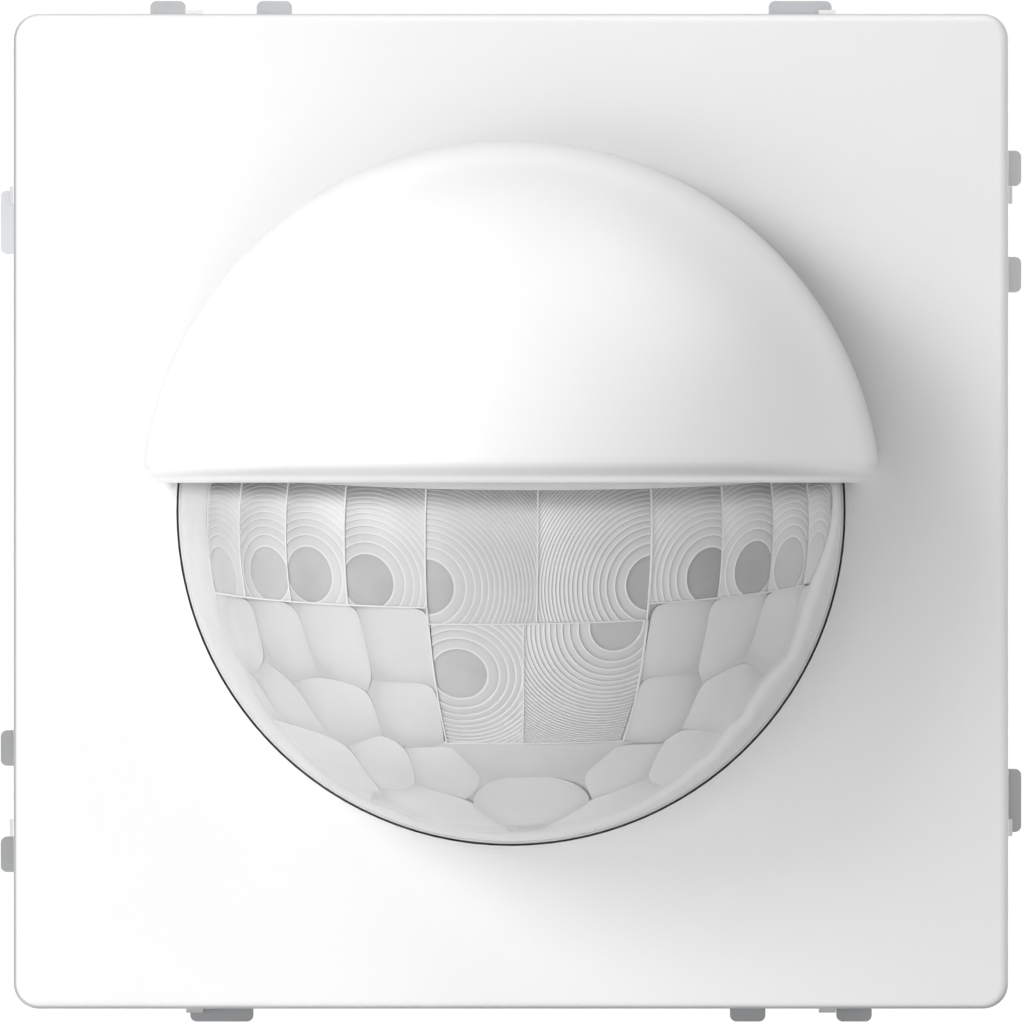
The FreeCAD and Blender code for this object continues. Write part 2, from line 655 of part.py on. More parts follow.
for s in (-1, 1):
    sk.circle(D["term_pitch"] / 2 * s, D["recess_z"], 0.9)
pocket(tub, sk, 2.0)
sk = Sketch(tub, "tub_screw_holes", offset=f_mouth)
for sx, sz in CORNERS:
    sk.circle(25.5 * sx, 18.0 * sz, 1.15)
pocket(tub, sk, D["tub_flange_t"])
screw_set("housing_screws", [(25.5 * sx, 18.0 * sz) for sx, sz in CORNERS],
          f_mouth, 1.9, 1.4, 0.85, 3.1, False)

# ---------------------------------------------------------------- main board
mb = new_body("main_board")
pad(mb, Sketch(mb, "main_board_outline", offset=-b_board_back).block(0, 0, 40.4, 42.4),
    D["board_t"])
soften(mb, 1.5, lambda e: along_y(e, 20.2), "main_board_corners")
sk = Sketch(mb, "main_board_holes", offset=-D["b_board"])
for x, z in BOARD_POSTS:
    sk.circle(x, z, 1.15)
pocket(mb, sk, D["board_t"])
screw_set("main_board_screws", BOARD_POSTS, -D["b_board"], 1.9, 1.4, 0.85, 5.8, False)

f_face = -D["b_board"]       # front face of the main board, as a forward depth

cap = new_body("storage_capacitor", x=-11.0, y=D["b_board"], z=-8.0)
sk = Sketch(cap, "capacitor_profile", role="YZ_Plane").path(
    [(0.0, 0.0), (0.0, 5.0), (-1.2, 5.0), (-1.6, 4.75), (-2.0, 5.0), (-12.3, 5.0),
     (-12.6, 4.6), (-12.6, 4.2), (-12.3, 4.0), (-12.3, 0.0)])
revolve(cap, sk)

choke = new_body("bus_choke", x=9.5, y=D["b_board"], z=-10.5)
sk = Sketch(choke, "choke_profile", role="YZ_Plane").path(
    [(0.0, 0.0), (0.0, 4.0), (-1.2, 4.0), (-1.2, 3.4), (-7.4, 3.4), (-7.4, 4.0),
     (-8.6, 4.0), (-8.6, 0.0)])
revolve(choke, sk)

ind = new_body("power_inductor", x=10.0, y=D["b_board"], z=2.5)
pad(ind, Sketch(ind, "inductor_block").block(0, 0, 7.3, 7.3), 4.2)
soften(ind, 1.2, lambda e: along_y(e, 3.65), "inductor_corners", kind="Chamfer")

cpu = new_body("processor", x=-8.5, y=D["b_board"], z=5.5)
pad(cpu, Sketch(cpu, "processor_block", offset=0.15).block(0, 0, 10.0, 10.0), 1.4)
soften(cpu, 0.2, lambda e: at_depth(e, -1.55), "processor_edge", kind="Chamfer")
sk = Sketch(cpu, "processor_leads")
for i in range(8):
    u = (i - 3.5) * 1.0
    sk.block(u, 5.3, 0.4, 1.4)
    sk.block(u, -5.3, 0.4, 1.4)
    sk.block(5.3, u, 1.4, 0.4)
    sk.block(-5.3, u, 1.4, 0.4)
pad(cpu, sk, 0.4)

parts = new_body("main_board_parts", y=D["b_board"])
sk = Sketch(parts, "main_small_parts")
for x, z, w, h in ((3.0, 8.5, 1.6, 0.8), (5.5, 8.5, 1.6, 0.8), (8.0, 8.5, 1.6, 0.8),
                   (14.0, 8.0, 2.0, 1.2), (17.0, 3.0, 1.2, 2.0), (17.0, -1.0, 1.2, 2.0),
                   (2.5, 4.5, 2.8, 1.6), (2.5, 1.5, 2.8, 1.6), (-1.0, -4.0, 1.2, 2.0),
                   (1.5, -4.0, 1.2, 2.0), (15.5, -6.0, 3.0, 2.6), (-17.5, 6.0, 0.8, 1.6),
                   (-17.5, 3.0, 0.8, 1.6), (-2.0, -16.5, 4.4, 2.6), (4.0, -17.5, 3.2, 2.0)):
    sk.block(x, z, w, h)
pad(parts, sk, 0.9)

# ------------------------------------------------- plug from board to board
plug_z = 15.0
sock = new_body("board_socket", y=D["b_board"], z=plug_z)
pad(sock, Sketch(sock, "socket_block").block(0, 0, 26.6, 4.6), 8.6)
pocket(sock, Sketch(sock, "socket_slot", offset=8.6).block(0, 0, 25.0, 1.1), 6.2)
plug = new_body("board_plug", y=-D["f_sensor_board"], z=plug_z)
pad(plug, Sketch(plug, "plug_block").block(0, 0, 26.0, 2.5), 2.5, back=True)
pp = new_body("plug_pins", y=-D["f_sensor_board"], z=plug_z)
sk = Sketch(pp, "plug_pin_row", offset=-2.5)
for i in range(10):
    sk.block((i - 4.5) * 2.54, 0, 0.64, 0.64)
pad(pp, sk, 10.6, back=True)

# ------------------------------------------------------------ bus connection
pins = new_body("bus_pins", y=D["b_board"] + D["board_t"])
sk = Sketch(pins, "bus_pin_row")
for s in (-1, 1):
    sk.circle(D["term_pitch"] / 2 * s, D["recess_z"], D["pin_r"])
pad(pins, sk, 7.6, back=True)
soften(pins, 0.25, lambda e: near(span(e)[2], span(e)[3]) and span(e)[2] > 7.0, "pin_tips",
       kind="Chamfer")

b_seat = D["b_tub"] - D["recess_deep"] + 0.2
for label, s in (("bus_terminal_red", -1), ("bus_terminal_grey", 1)):
    t = new_body(label, x=D["term_pitch"] / 2 * s, y=b_seat, z=D["recess_z"])
    pad(t, Sketch(t, label + "_block").block(0, 0, D["term_w"], D["term_h"]), D["term_l"],
        back=True)
    soften(t, 0.4, lambda e: along_y(e, D["term_w"].value / 2), label + "_edges")
    pocket(t, Sketch(t, label + "_pin_hole").circle(0, 0, D["pin_r"] + D["pin_gap"]), 6.4,
           ahead=False)
    sk = Sketch(t, label + "_wire_holes", offset=-D["term_l"])
    for x, z in ((-1.35, 2.6), (1.35, 2.6), (-1.35, -2.6), (1.35, -2.6)):
        sk.circle(x, z, 0.75)
    pocket(t, sk, 4.5, ahead=True)

# -------------------------------------------------------------- sensor board
sb = new_body("sensor_board")
pad(sb, Sketch(sb, "sensor_board_outline", offset=D["f_sensor_board"]).path(
    [(-12.0, -24.0), (12.0, -24.0), (24.0, -12.0), (24.0, 12.0), (12.0, 24.0), (-12.0, 24.0),
     (-24.0, 12.0), (-24.0, -12.0)]), D["board_t"])
sp = new_body("sensor_board_parts", y=-f_board)
sk = Sketch(sp, "sensor_small_parts")
for x, z, w, h in ((-16.5, 0.0, 4.0, 5.0), (16.5, 0.0, 3.0, 3.0), (-15.5, 6.0, 1.6, 0.8),
                   (-15.5, -6.0, 1.6, 0.8), (16.0, 5.0, 0.8, 1.6), (16.0, -6.0, 0.8, 1.6),
                   (-6.0, -16.5, 2.0, 1.2), (6.0, -16.5, 2.0, 1.2), (-12.0, -14.0, 1.2, 2.0),
                   (12.0, -14.0, 1.2, 2.0), (-13.5, 12.5, 2.0, 1.2), (13.5, 12.5, 2.0, 1.2)):
    sk.block(x, z, w, h)
pad(sp, sk, 0.9)

# wedge with two slanted faces, hollow behind
hold = new_body("sensor_holder", y=-f_board, z=-5.0)
sk = Sketch(hold, "holder_plan", role="XY_Plane").path(
    [(-12.0, 0.0), (-12.0, -3.6), (-2.0, -10.6), (2.0, -10.6), (12.0, -3.6), (12.0, 0.0)])
pad(hold, sk, 14.0, both=True)
sk = Sketch(hold, "holder_hollow", role="XY_Plane").path(
    [(-10.6, 0.5), (-10.6, -2.7), (-1.6, -9.0), (1.6, -9.0), (10.6, -2.7), (10.6, 0.5)])
pocket(hold, sk, 11.2, both=True)
TILT = math.degrees(math.atan2(7.0, 10.0))


def slanted(sk_wrap, side):
    """Turns a sketch to a slanted face of the wedge."""
    sk_wrap.sk.AttachmentOffset = FreeCAD.Placement(
        V(7.0 * side, 0.0, 7.1), FreeCAD.Rotation(V(0, 1, 0), TILT * side))


for side, tag in ((-1, "left"), (1, "right")):
    sk = Sketch(hold, "lead_hole_" + tag)
    slanted(sk, side)
    sk.circle(0, 0, 2.9)
    pocket(hold, sk, 4.0, both=True)

for side, tag in ((-1, "left"), (1, "right")):
    b = new_body("motion_sensor_" + tag)
    nx, ny = math.sin(math.radians(TILT)) * side, -math.cos(math.radians(TILT))
    base = V(7.0 * side + nx * 0.05, -(f_board.value + 7.1) + ny * 0.05, -5.0)
    b.Placement = FreeCAD.Placement(base, FreeCAD.Rotation(V(0, 0, 1), TILT * side))
    pad(b, Sketch(b, "sensor_flange_" + tag).circle(0, 0, 4.6), 0.6)
    pad(b, Sketch(b, "sensor_can_" + tag, offset=0.6).circle(0, 0, 4.1), 3.7)
    soften(b, 0.5, lambda e: at_depth(e, -4.3), "sensor_rim_" + tag)
    pocket(b, Sketch(b, "sensor_window_" + tag, offset=4.3).block(0, 0, 4.2, 3.2), 0.25)
    sk = Sketch(b, "sensor_leads_" + tag)
    for u, w in ((-1.8, 0.0), (1.3, 1.3), (1.3, -1.3)):
        sk.circle(u, w, 0.23)
    pad(b, sk, 6.4, back=True)

bs = new_body("brightness_sensor", y=-(f_board + 10.6), z=-5.0)
pad(bs, Sketch(bs, "brightness_block", offset=0.02).block(0, 0, 3.6, 3.6), 1.3)
soften(bs, 0.3, lambda e: at_depth(e, -1.32), "brightness_edge", kind="Chamfer")


def lamp(label, length, **where):
    """Small round lamp with a domed end, looking to the front."""
    b = new_body(label, **where)
    sk = Sketch(b, label + "_profile", role="YZ_Plane").path(
        [(0.0, 0.0), (0.0, 1.7), (-0.8, 1.7), (-0.8, 1.45), (-length, 1.45), (-length - 1.45, 0.0)],
        {4: (-length, 0.0, False, "y")})
    revolve(b, sk)
    return b


lamp("test_lamp", 4.0, y=-f_board, z=-18.2)
lamp("program_lamp", 5.0, x=-D["button_x"], y=-f_sb, z=D["button_z"])

# ------------------------------------------------------------ settings board
seb = new_body("settings_board")
pad(seb, Sketch(seb, "settings_board_outline", offset=f_sb - D["board_t"]).path(
    [(-15.5, 5.4), (15.5, 5.4), (15.5, 13.0), (10.0, 18.0), (-10.0, 18.0), (-15.5, 13.0)]),
    D["board_t"])
sk = Sketch(seb, "settings_board_holes", offset=f_sb)
for x, z in POSTS:
    sk.circle(x, z, 1.0)
pocket(seb, sk, D["board_t"])
screw_set("settings_board_screws", POSTS, f_sb - D["board_t"], 1.5, 1.1, 0.7, 4.6, True)

pots = new_body("dial_potentiometers", y=-f_sb)
sk = Sketch(pots, "pot_blocks")
for k in (-1, 0, 1):
    sk.block(D["dial_pitch"] * k, D["dial_z"], 7.0, 7.0)
pad(pots, sk, 3.6)
sk = Sketch(pots, "pot_bores", offset=3.6)
for k in (-1, 0, 1):
    sk.circle(D["dial_pitch"] * k, D["dial_z"], D["shaft_r"] + D["shaft_gap"])
pocket(pots, sk, 3.4)

for label, k in (("time_dial", -1), ("brightness_dial", 0), ("range_dial", 1)):
    b = new_body(label, x=D["dial_pitch"] * k, y=-(D["f_panel"] + 0.2), z=D["dial_z"])
    pad(b, Sketch(b, label + "_head").circle(0, 0, D["dial_r"]), 2.4)
    soften(b, 0.35, lambda e: at_depth(e, -2.4), label + "_rim")
    pocket(b, Sketch(b, label + "_slot", offset=2.4).block(0, 0, 0.9, 4.6), 1.1)
    pocket(b, Sketch(b, label + "_mark", offset=2.4).block(0, 2.2, 0.9, 1.7), 0.5)
    pad(b, Sketch(b, label + "_shaft").circle(0, 0, D["shaft_r"]), 5.9, back=True)

sw = new_body("program_switch", x=D["button_x"], y=-f_sb, z=D["button_z"])
pad(sw, Sketch(sw, "switch_block").block(0, 0, 4.4, 4.4), 2.0)
pad(sw, Sketch(sw, "switch_plunger", offset=2.0).circle(0, 0, 1.0),
    22.0 - f_sb - 2.0 - D["button_travel"] - 0.05)

bt = new_body("program_button", x=D["button_x"], y=-22.0, z=D["button_z"])
pad(bt, Sketch(bt, "button_flange").circle(0, 0, 2.3), 0.9)
pad(bt, Sketch(bt, "button_stem", offset=0.9).circle(0, 0, D["shaft_r"] + 0.13), 2.5)
soften(bt, 0.3, lambda e: at_depth(e, -3.4), "button_rim")

# pins between sensor board and settings board
lp = new_body("link_pins", z=7.3)
sk = Sketch(lp, "link_pin_row", offset=f_board)
for i in range(6):
    sk.block((i - 2.5) * 2.54, 0, 0.64, 0.64)
pad(lp, sk, f_sb - D["board_t"] - f_board)
lb = new_body("link_blocks", z=7.3)
sk = Sketch(lb, "link_low_block", offset=f_board)
sk.block(0, 0, 15.4, 2.4)
for i in range(6):
    sk.block((i - 2.5) * 2.54, 0, 0.76, 0.76)
pad(lb, sk, 2.4)
sk = Sketch(lb, "link_high_block", offset=f_sb - D["board_t"] - 2.4)
sk.block(0, 0, 15.4, 2.4)
for i in range(6):
    sk.block((i - 2.5) * 2.54, 0, 0.76, 0.76)
pad(lb, sk, 2.4)

# ------------------------------------------------------------------- export
doc.recompute()
bad = [o.Name for o in doc.Objects if "Invalid" in o.State or "Error" in o.State]
if bad:
    raise RuntimeError("features in error: %s" % ", ".join(bad))
bodies = [o for o in doc.Objects if o.TypeId == "PartDesign::Body"]
for o in bodies:
    s = o.Shape
    if s.isNull() or not s.isValid():
        raise RuntimeError("%s has no valid shape" % o.Label)
    s.exportStep("parts/%s.step" % o.Label)
    print("%-26s %2d solids %9.1f mm3" % (o.Label, len(s.Solids), s.Volume))
print(len(bodies), "pieces")
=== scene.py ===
import json
import math

import bmesh
import bpy
import numpy as np
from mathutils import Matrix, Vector


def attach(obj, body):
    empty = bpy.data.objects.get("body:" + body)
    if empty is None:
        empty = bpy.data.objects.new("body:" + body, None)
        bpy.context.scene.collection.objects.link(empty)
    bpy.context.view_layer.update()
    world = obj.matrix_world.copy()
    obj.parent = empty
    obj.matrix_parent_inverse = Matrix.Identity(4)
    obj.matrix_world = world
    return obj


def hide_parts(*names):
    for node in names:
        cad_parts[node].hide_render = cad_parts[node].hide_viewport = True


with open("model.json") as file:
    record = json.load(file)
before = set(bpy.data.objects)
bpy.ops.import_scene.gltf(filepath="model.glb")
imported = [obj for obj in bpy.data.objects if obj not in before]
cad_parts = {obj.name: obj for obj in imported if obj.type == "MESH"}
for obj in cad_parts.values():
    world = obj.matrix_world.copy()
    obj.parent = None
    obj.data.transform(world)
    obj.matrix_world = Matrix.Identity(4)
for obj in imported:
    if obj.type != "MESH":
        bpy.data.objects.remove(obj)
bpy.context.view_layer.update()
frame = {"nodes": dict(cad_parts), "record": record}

scene = bpy.context.scene
NODE = frame["nodes"]
MM = 0.001


# ------------------------------------------------------------------ materials
class Mat:
    """A material that is put together from nodes."""

    def __init__(self, name):
        self.m = bpy.data.materials.new(name)
        self.m.use_nodes = True
        self.t = self.m.node_tree
        self.p = self.t.nodes["Principled BSDF"]
        self.where = self.t.nodes.new("ShaderNodeTexCoord").outputs["Object"]

    def new(self, kind, **props):
        n = self.t.nodes.new(kind)
        for k, v in props.items():
            setattr(n, k, v)
        return n

    def link(self, a, b):
        self.t.links.new(a, b)

    def noise(self, scale, detail=3.0, rough=0.5, stretch=None, distortion=0.0):
        n = self.new("ShaderNodeTexNoise")
        n.inputs["Scale"].default_value = scale
        n.inputs["Detail"].default_value = detail
        n.inputs["Roughness"].default_value = rough
        n.inputs["Distortion"].default_value = distortion
        self.link(self.mapped(stretch), n.inputs["Vector"])
        return n.outputs["Fac"]

    def mapped(self, stretch):
        if stretch is None:
            return self.where
        m = self.new("ShaderNodeMapping")
        m.inputs["Scale"].default_value = stretch
        self.link(self.where, m.inputs["Vector"])
        return m.outputs["Vector"]

    def span(self, value, lo, hi, a=0.0, b=1.0):
        n = self.new("ShaderNodeMapRange")
        n.inputs["From Min"].default_value = lo
        n.inputs["From Max"].default_value = hi
        n.inputs["To Min"].default_value = a
        n.inputs["To Max"].default_value = b
        self.link(value, n.inputs["Value"])
        return n.outputs["Result"]

    def math(self, op, a, b=None, c=None):
        n = self.new("ShaderNodeMath", operation=op)
        for i, v in enumerate((a, b, c)):
            if v is None:
                continue
            if isinstance(v, (int, float)):
                n.inputs[i].default_value = v
            else:
                self.link(v, n.inputs[i])
        return n.outputs[0]

    def mix(self, fac, a, b):
        n = self.new("ShaderNodeMix", data_type="RGBA")
        for sock, v in (("Factor", fac), ("A", a), ("B", b)):
            sockets = [s for s in n.inputs if s.name == sock and s.enabled]
            s = sockets[0]
            if isinstance(v, tuple):
                s.default_value = (v[0], v[1], v[2], 1.0)
            elif isinstance(v, (int, float)):
                s.default_value = v
            else:
                self.link(v, s)
        return [o for o in n.outputs if o.enabled][0]

    def ramp(self, fac, stops):
        n = self.new("ShaderNodeValToRGB")
        while len(n.color_ramp.elements) < len(stops):
            n.color_ramp.elements.new(0.5)
        for e, (pos, c) in zip(n.color_ramp.elements, stops):
            e.position = pos
            e.color = (c[0], c[1], c[2], 1.0)
        self.link(fac, n.inputs["Fac"])
        return n.outputs["Color"]

    def colour(self, sock):
        self.link(sock, self.p.inputs["Base Color"])

    def rough(self, sock):
        self.link(sock, self.p.inputs["Roughness"])

    def bump(self, height, distance, strength=1.0, normal=None):
        n = self.new("ShaderNodeBump")
        n.inputs["Strength"].default_value = strength
        n.inputs["Distance"].default_value = distance
        self.link(height, n.inputs["Height"])
        if normal is not None:
            self.link(normal, n.inputs["Normal"])
        self.link(n.outputs["Normal"], self.p.inputs["Normal"])
        return n.outputs["Normal"]

    def set(self, **v):
        for k, x in v.items():
            self.p.inputs[k.replace("_", " ")].default_value = x
        return self


def tint(c, f):
    return tuple(min(1.0, max(0.0, x * f)) for x in c)


def plastic(name, c, rough=0.35, spread=0.06, vary=0.05, patch=90.0, grain=2600.0,
            depth=0.0, peel=0.0, coat=0.0, rim=0.0,
            rim_at=(0.62, 1.0, 1.6), smooth=False, lip_shade=0.0, foot_shade=0.0, edge=0.0,
            right=None):
    """Moulded plastic: slow and fine changes of colour, uneven gloss, and a
    fine grain (depth) or a slight waviness of the gloss (peel). rim, edge and lip paint
    shade into the colour, foot paints shade and right paints light."""
    m = Mat(name)
    slow = m.noise(patch, 2.0)
    fine = m.noise(grain, 4.0, 0.6)
    both = slow if smooth else m.math("ADD", m.math("MULTIPLY", slow, 0.75),
                                      m.math("MULTIPLY", fine, 0.25))
    m.colour(m.mix(m.span(both, 0.3, 0.7), tint(c, 1 - vary), tint(c, 1 + vary)))
    m.rough(m.span(m.noise(patch * 4, 3.0), 0.3, 0.7, max(0.02, rough - spread), rough + spread))
    n = None
    if peel:
        n = m.bump(m.noise(420.0, 1.0), peel)
    if depth:
        m.bump(fine, depth, normal=n)
    m.set(Coat_Weight=coat, Coat_Roughness=0.08)
    if rim:
        # painted shade: a trace greyer where the surface turns away to the sides, darkening the
        # outlines
        sep = m.new("ShaderNodeSeparateXYZ")
        m.link(m.t.nodes.new("ShaderNodeTexCoord").outputs["Normal"], sep.inputs[0])
        side = m.math("SUBTRACT", 1.0, m.math("ABSOLUTE", sep.outputs["Y"]))
        f = m.math("POWER", m.span(side, rim_at[0], rim_at[1]), rim_at[2])
        if lip_shade:
            f = m.math("MULTIPLY", f, m.span(sep.outputs["Z"], -0.60, -0.30))
        old = m.p.inputs["Base Color"].links[0].from_socket
        m.colour(m.mix(m.math("MULTIPLY", f, rim), old, tint(c, 0.35)))
    if edge:
        # painted shade: a greyer line along rounded edges, on the left and the lower side, as the
        # dark outline of the cover
        f = m.math("MULTIPLY", m.span(side, 0.14, 0.34), m.span(side, 0.92, 0.74))
        left = m.math("MULTIPLY", m.math("MAXIMUM", m.math("MULTIPLY", sep.outputs["X"], -1.0),
                                         0.0), 1.0)
        low = m.math("MULTIPLY", m.math("MAXIMUM", m.math("MULTIPLY", sep.outputs["Z"], -1.0),
                                        0.0), 0.6)
        f = m.math("MULTIPLY", f, m.math("MAXIMUM", left, low))
        old = m.p.inputs["Base Color"].links[0].from_socket
        m.colour(m.mix(m.math("MULTIPLY", f, edge), old, tint(c, 0.2)))
    if lip_shade:
        # painted shade: a greyer band where the surface turns under, the dark band above the hood's
        # lower edge
        sep = m.new("ShaderNodeSeparateXYZ")
        m.link(m.t.nodes.new("ShaderNodeTexCoord").outputs["Normal"], sep.inputs[0])
        f = m.math("MULTIPLY", m.span(sep.outputs["Z"], -0.08, -0.42),
                   m.span(sep.outputs["Z"], -0.82, -0.62))
        f = m.math("MULTIPLY", f, m.span(m.math("ABSOLUTE", sep.outputs["X"]), 0.84, 0.58))
        old = m.p.inputs["Base Color"].links[0].from_socket
        m.colour(m.mix(m.math("MULTIPLY", f, lip_shade), old, tint(c, 0.35)))
    if foot_shade:
        # painted light and shade: paler towards the right, a little darker towards the lower side,
        # most of all on the left
        sep = m.new("ShaderNodeSeparateXYZ")
        m.link(m.where, sep.inputs[0])
        old = m.p.inputs["Base Color"].links[0].from_socket
        if right:
            old = m.mix(m.span(sep.outputs["X"], 0.024, 0.034), old, right)
        low = m.math("MULTIPLY", m.span(sep.outputs["Z"], 0.004, -0.016),
                     m.span(sep.outputs["X"], -0.024, -0.034, foot_shade, 2.0 * foot_shade))
        m.colour(m.mix(low, old, tint(c, 0.3)))
    return m.m


def metal(name, c, rough=0.3, spread=0.08, vary=0.08, patch=300.0, streak=None, depth=4e-6,
          spangle=0.0):
    m = Mat(name)
    grain = m.noise(900.0, 5.0, 0.6, stretch=streak)
    slow = m.noise(patch, 3.0)
    base = m.mix(m.span(slow, 0.3, 0.7), tint(c, 1 - vary), tint(c, 1 + vary))
    if spangle:
        v = m.new("ShaderNodeTexVoronoi", feature="F1")
        v.inputs["Scale"].default_value = spangle
        m.link(m.where, v.inputs["Vector"])
        bw = m.new("ShaderNodeRGBToBW")
        m.link(v.outputs["Color"], bw.inputs["Color"])
        base = m.mix(m.span(bw.outputs[0], 0.2, 0.8, 0.0, 0.5), base, tint(c, 0.8))
        m.rough(m.span(bw.outputs[0], 0.0, 1.0, rough - spread, rough + spread))
    else:
        m.rough(m.span(grain, 0.25, 0.75, max(0.05, rough - spread), rough + spread))
    m.colour(base)
    m.bump(grain, depth)
    m.set(Metallic=1.0)
    return m.m


def circuit_board(name):
    """Green lacquer over copper tracks, with the weave of the board below."""
    m = Mat(name)
    sep = m.new("ShaderNodeSeparateXYZ")
    m.link(m.where, sep.inputs[0])
    v = m.new("ShaderNodeTexBrick")
    flat = m.new("ShaderNodeCombineXYZ")
    m.link(sep.outputs["X"], flat.inputs["X"])
    m.link(sep.outputs["Z"], flat.inputs["Y"])
    m.link(flat.outputs[0], v.inputs["Vector"])
    v.offset, v.squash = 0.37, 0.8
    for k, x in (("Scale", 160.0), ("Mortar Size", 0.03), ("Mortar Smooth", 0.1),
                 ("Brick Width", 0.9), ("Row Height", 0.32), ("Bias", 0.0)):
        v.inputs[k].default_value = x
    tracks = v.outputs["Fac"]
    gate = m.math("GREATER_THAN", m.noise(140.0, 2.0), 0.47)
    lines = m.math("MULTIPLY", tracks, gate)
    weave = m.new("ShaderNodeTexWave", wave_type="BANDS", bands_direction="X")
    weave.inputs["Scale"].default_value = 900.0
    weave.inputs["Distortion"].default_value = 0.6
    m.link(m.where, weave.inputs["Vector"])
    base = m.mix(m.span(m.noise(60.0), 0.3, 0.7), (0.012, 0.105, 0.045), (0.018, 0.135, 0.06))
    base = m.mix(m.span(weave.outputs["Fac"], 0, 1, 0.0, 0.12), base, (0.03, 0.17, 0.08))
    m.colour(m.mix(lines, base, (0.035, 0.21, 0.085)))
    m.rough(m.span(m.noise(500.0), 0.3, 0.7, 0.22, 0.36))
    m.bump(lines, 2.5e-5)
    return m.m


def winding(name, c):
    """Enamelled wire wound round an upright core."""
    m = Mat(name)
    w = m.new("ShaderNodeTexWave", wave_type="BANDS", bands_direction="Y", wave_profile="SIN")
    w.inputs["Scale"].default_value = 480.0
    w.inputs["Distortion"].default_value = 0.25
    w.inputs["Detail"].default_value = 1.0
    m.link(m.where, w.inputs["Vector"])
    f = w.outputs["Fac"]
    # painted shade: darker in the grooves between the turns
    m.colour(m.mix(m.span(f, 0.0, 0.6), tint(c, 0.35), tint(c, 1.05)))
    m.rough(m.span(m.noise(700.0), 0.3, 0.7, 0.24, 0.38))
    m.bump(f, 1.6e-4)
    m.set(Metallic=0.85)
    return m.m


def sleeve(name):
    """Black shrink sleeve of the capacitor with its pale minus stripe, and the
    bare can at the scored top."""
    m = Mat(name)
    sep = m.new("ShaderNodeSeparateXYZ")
    m.link(m.where, sep.inputs[0])
    dx = m.math("ADD", sep.outputs["X"], 0.011)
    dz = m.math("ADD", sep.outputs["Z"], 0.008)
    turn = m.math("ARCTAN2", dz, dx)
    stripe = m.math("MULTIPLY", m.math("GREATER_THAN", turn, 1.2), m.math("LESS_THAN", turn, 1.95))
    r = m.math("SQRT", m.math("ADD", m.math("MULTIPLY", dx, dx), m.math("MULTIPLY", dz, dz)))
    top = m.math("MULTIPLY", m.math("LESS_THAN", r, 0.0042),
                 m.math("LESS_THAN", sep.outputs["Y"], -0.0001))
    dark = m.mix(m.span(m.noise(300.0), 0.3, 0.7), (0.012, 0.013, 0.016), (0.022, 0.023, 0.027))
    body = m.mix(stripe, dark, (0.42, 0.43, 0.44))
    m.colour(m.mix(top, body, (0.70, 0.70, 0.71)))
    m.link(top, m.p.inputs["Metallic"])
    m.rough(m.span(m.noise(400.0), 0.3, 0.7, 0.25, 0.42))
    m.bump(m.noise(1500.0), 6e-6)
    return m.m


def resin(name, c):
    m = Mat(name)
    n = m.noise(500.0, 2.0)
    m.colour(m.mix(m.span(n, 0.3, 0.7), tint(c, 0.85), tint(c, 1.15)))
    m.rough(m.span(m.noise(1200.0), 0.3, 0.7, 0.06, 0.16))
    m.bump(m.noise(800.0), 3e-6)
    m.set(Transmission_Weight=0.35, IOR=1.52)
    return m.m


def milky(name):
    """Thin translucent polyethylene. tone runs from -1, thin and darker, over
    0, the plain shell, to +1, the pale edges; besides these it carries painted light and shade."""
    m = Mat(name)
    a = m.new("ShaderNodeAttribute", attribute_name="tone")
    t = a.outputs["Fac"]
    fac = m.span(t, -1.0, 1.0)
    base = m.ramp(fac, [(0.0, (0.30, 0.302, 0.303)), (0.5, (0.58, 0.582, 0.582)),
                        (1.0, (0.90, 0.90, 0.90))])
    cloud = m.span(m.noise(260.0, 4.0, 0.6), 0.3, 0.7, 0.0, 0.16)
    m.colour(m.mix(cloud, base, (0.84, 0.842, 0.842)))
    m.rough(m.span(m.noise(900.0, 3.0), 0.3, 0.7, 0.30, 0.42))
    m.bump(m.noise(2200.0, 4.0, 0.6), 5e-6)
    m.set(Subsurface_Weight=0.12, Subsurface_Radius=(1.0, 1.0, 1.0), Subsurface_Scale=0.0006,
          IOR=1.5, Specular_IOR_Level=0.45)
    return m.m


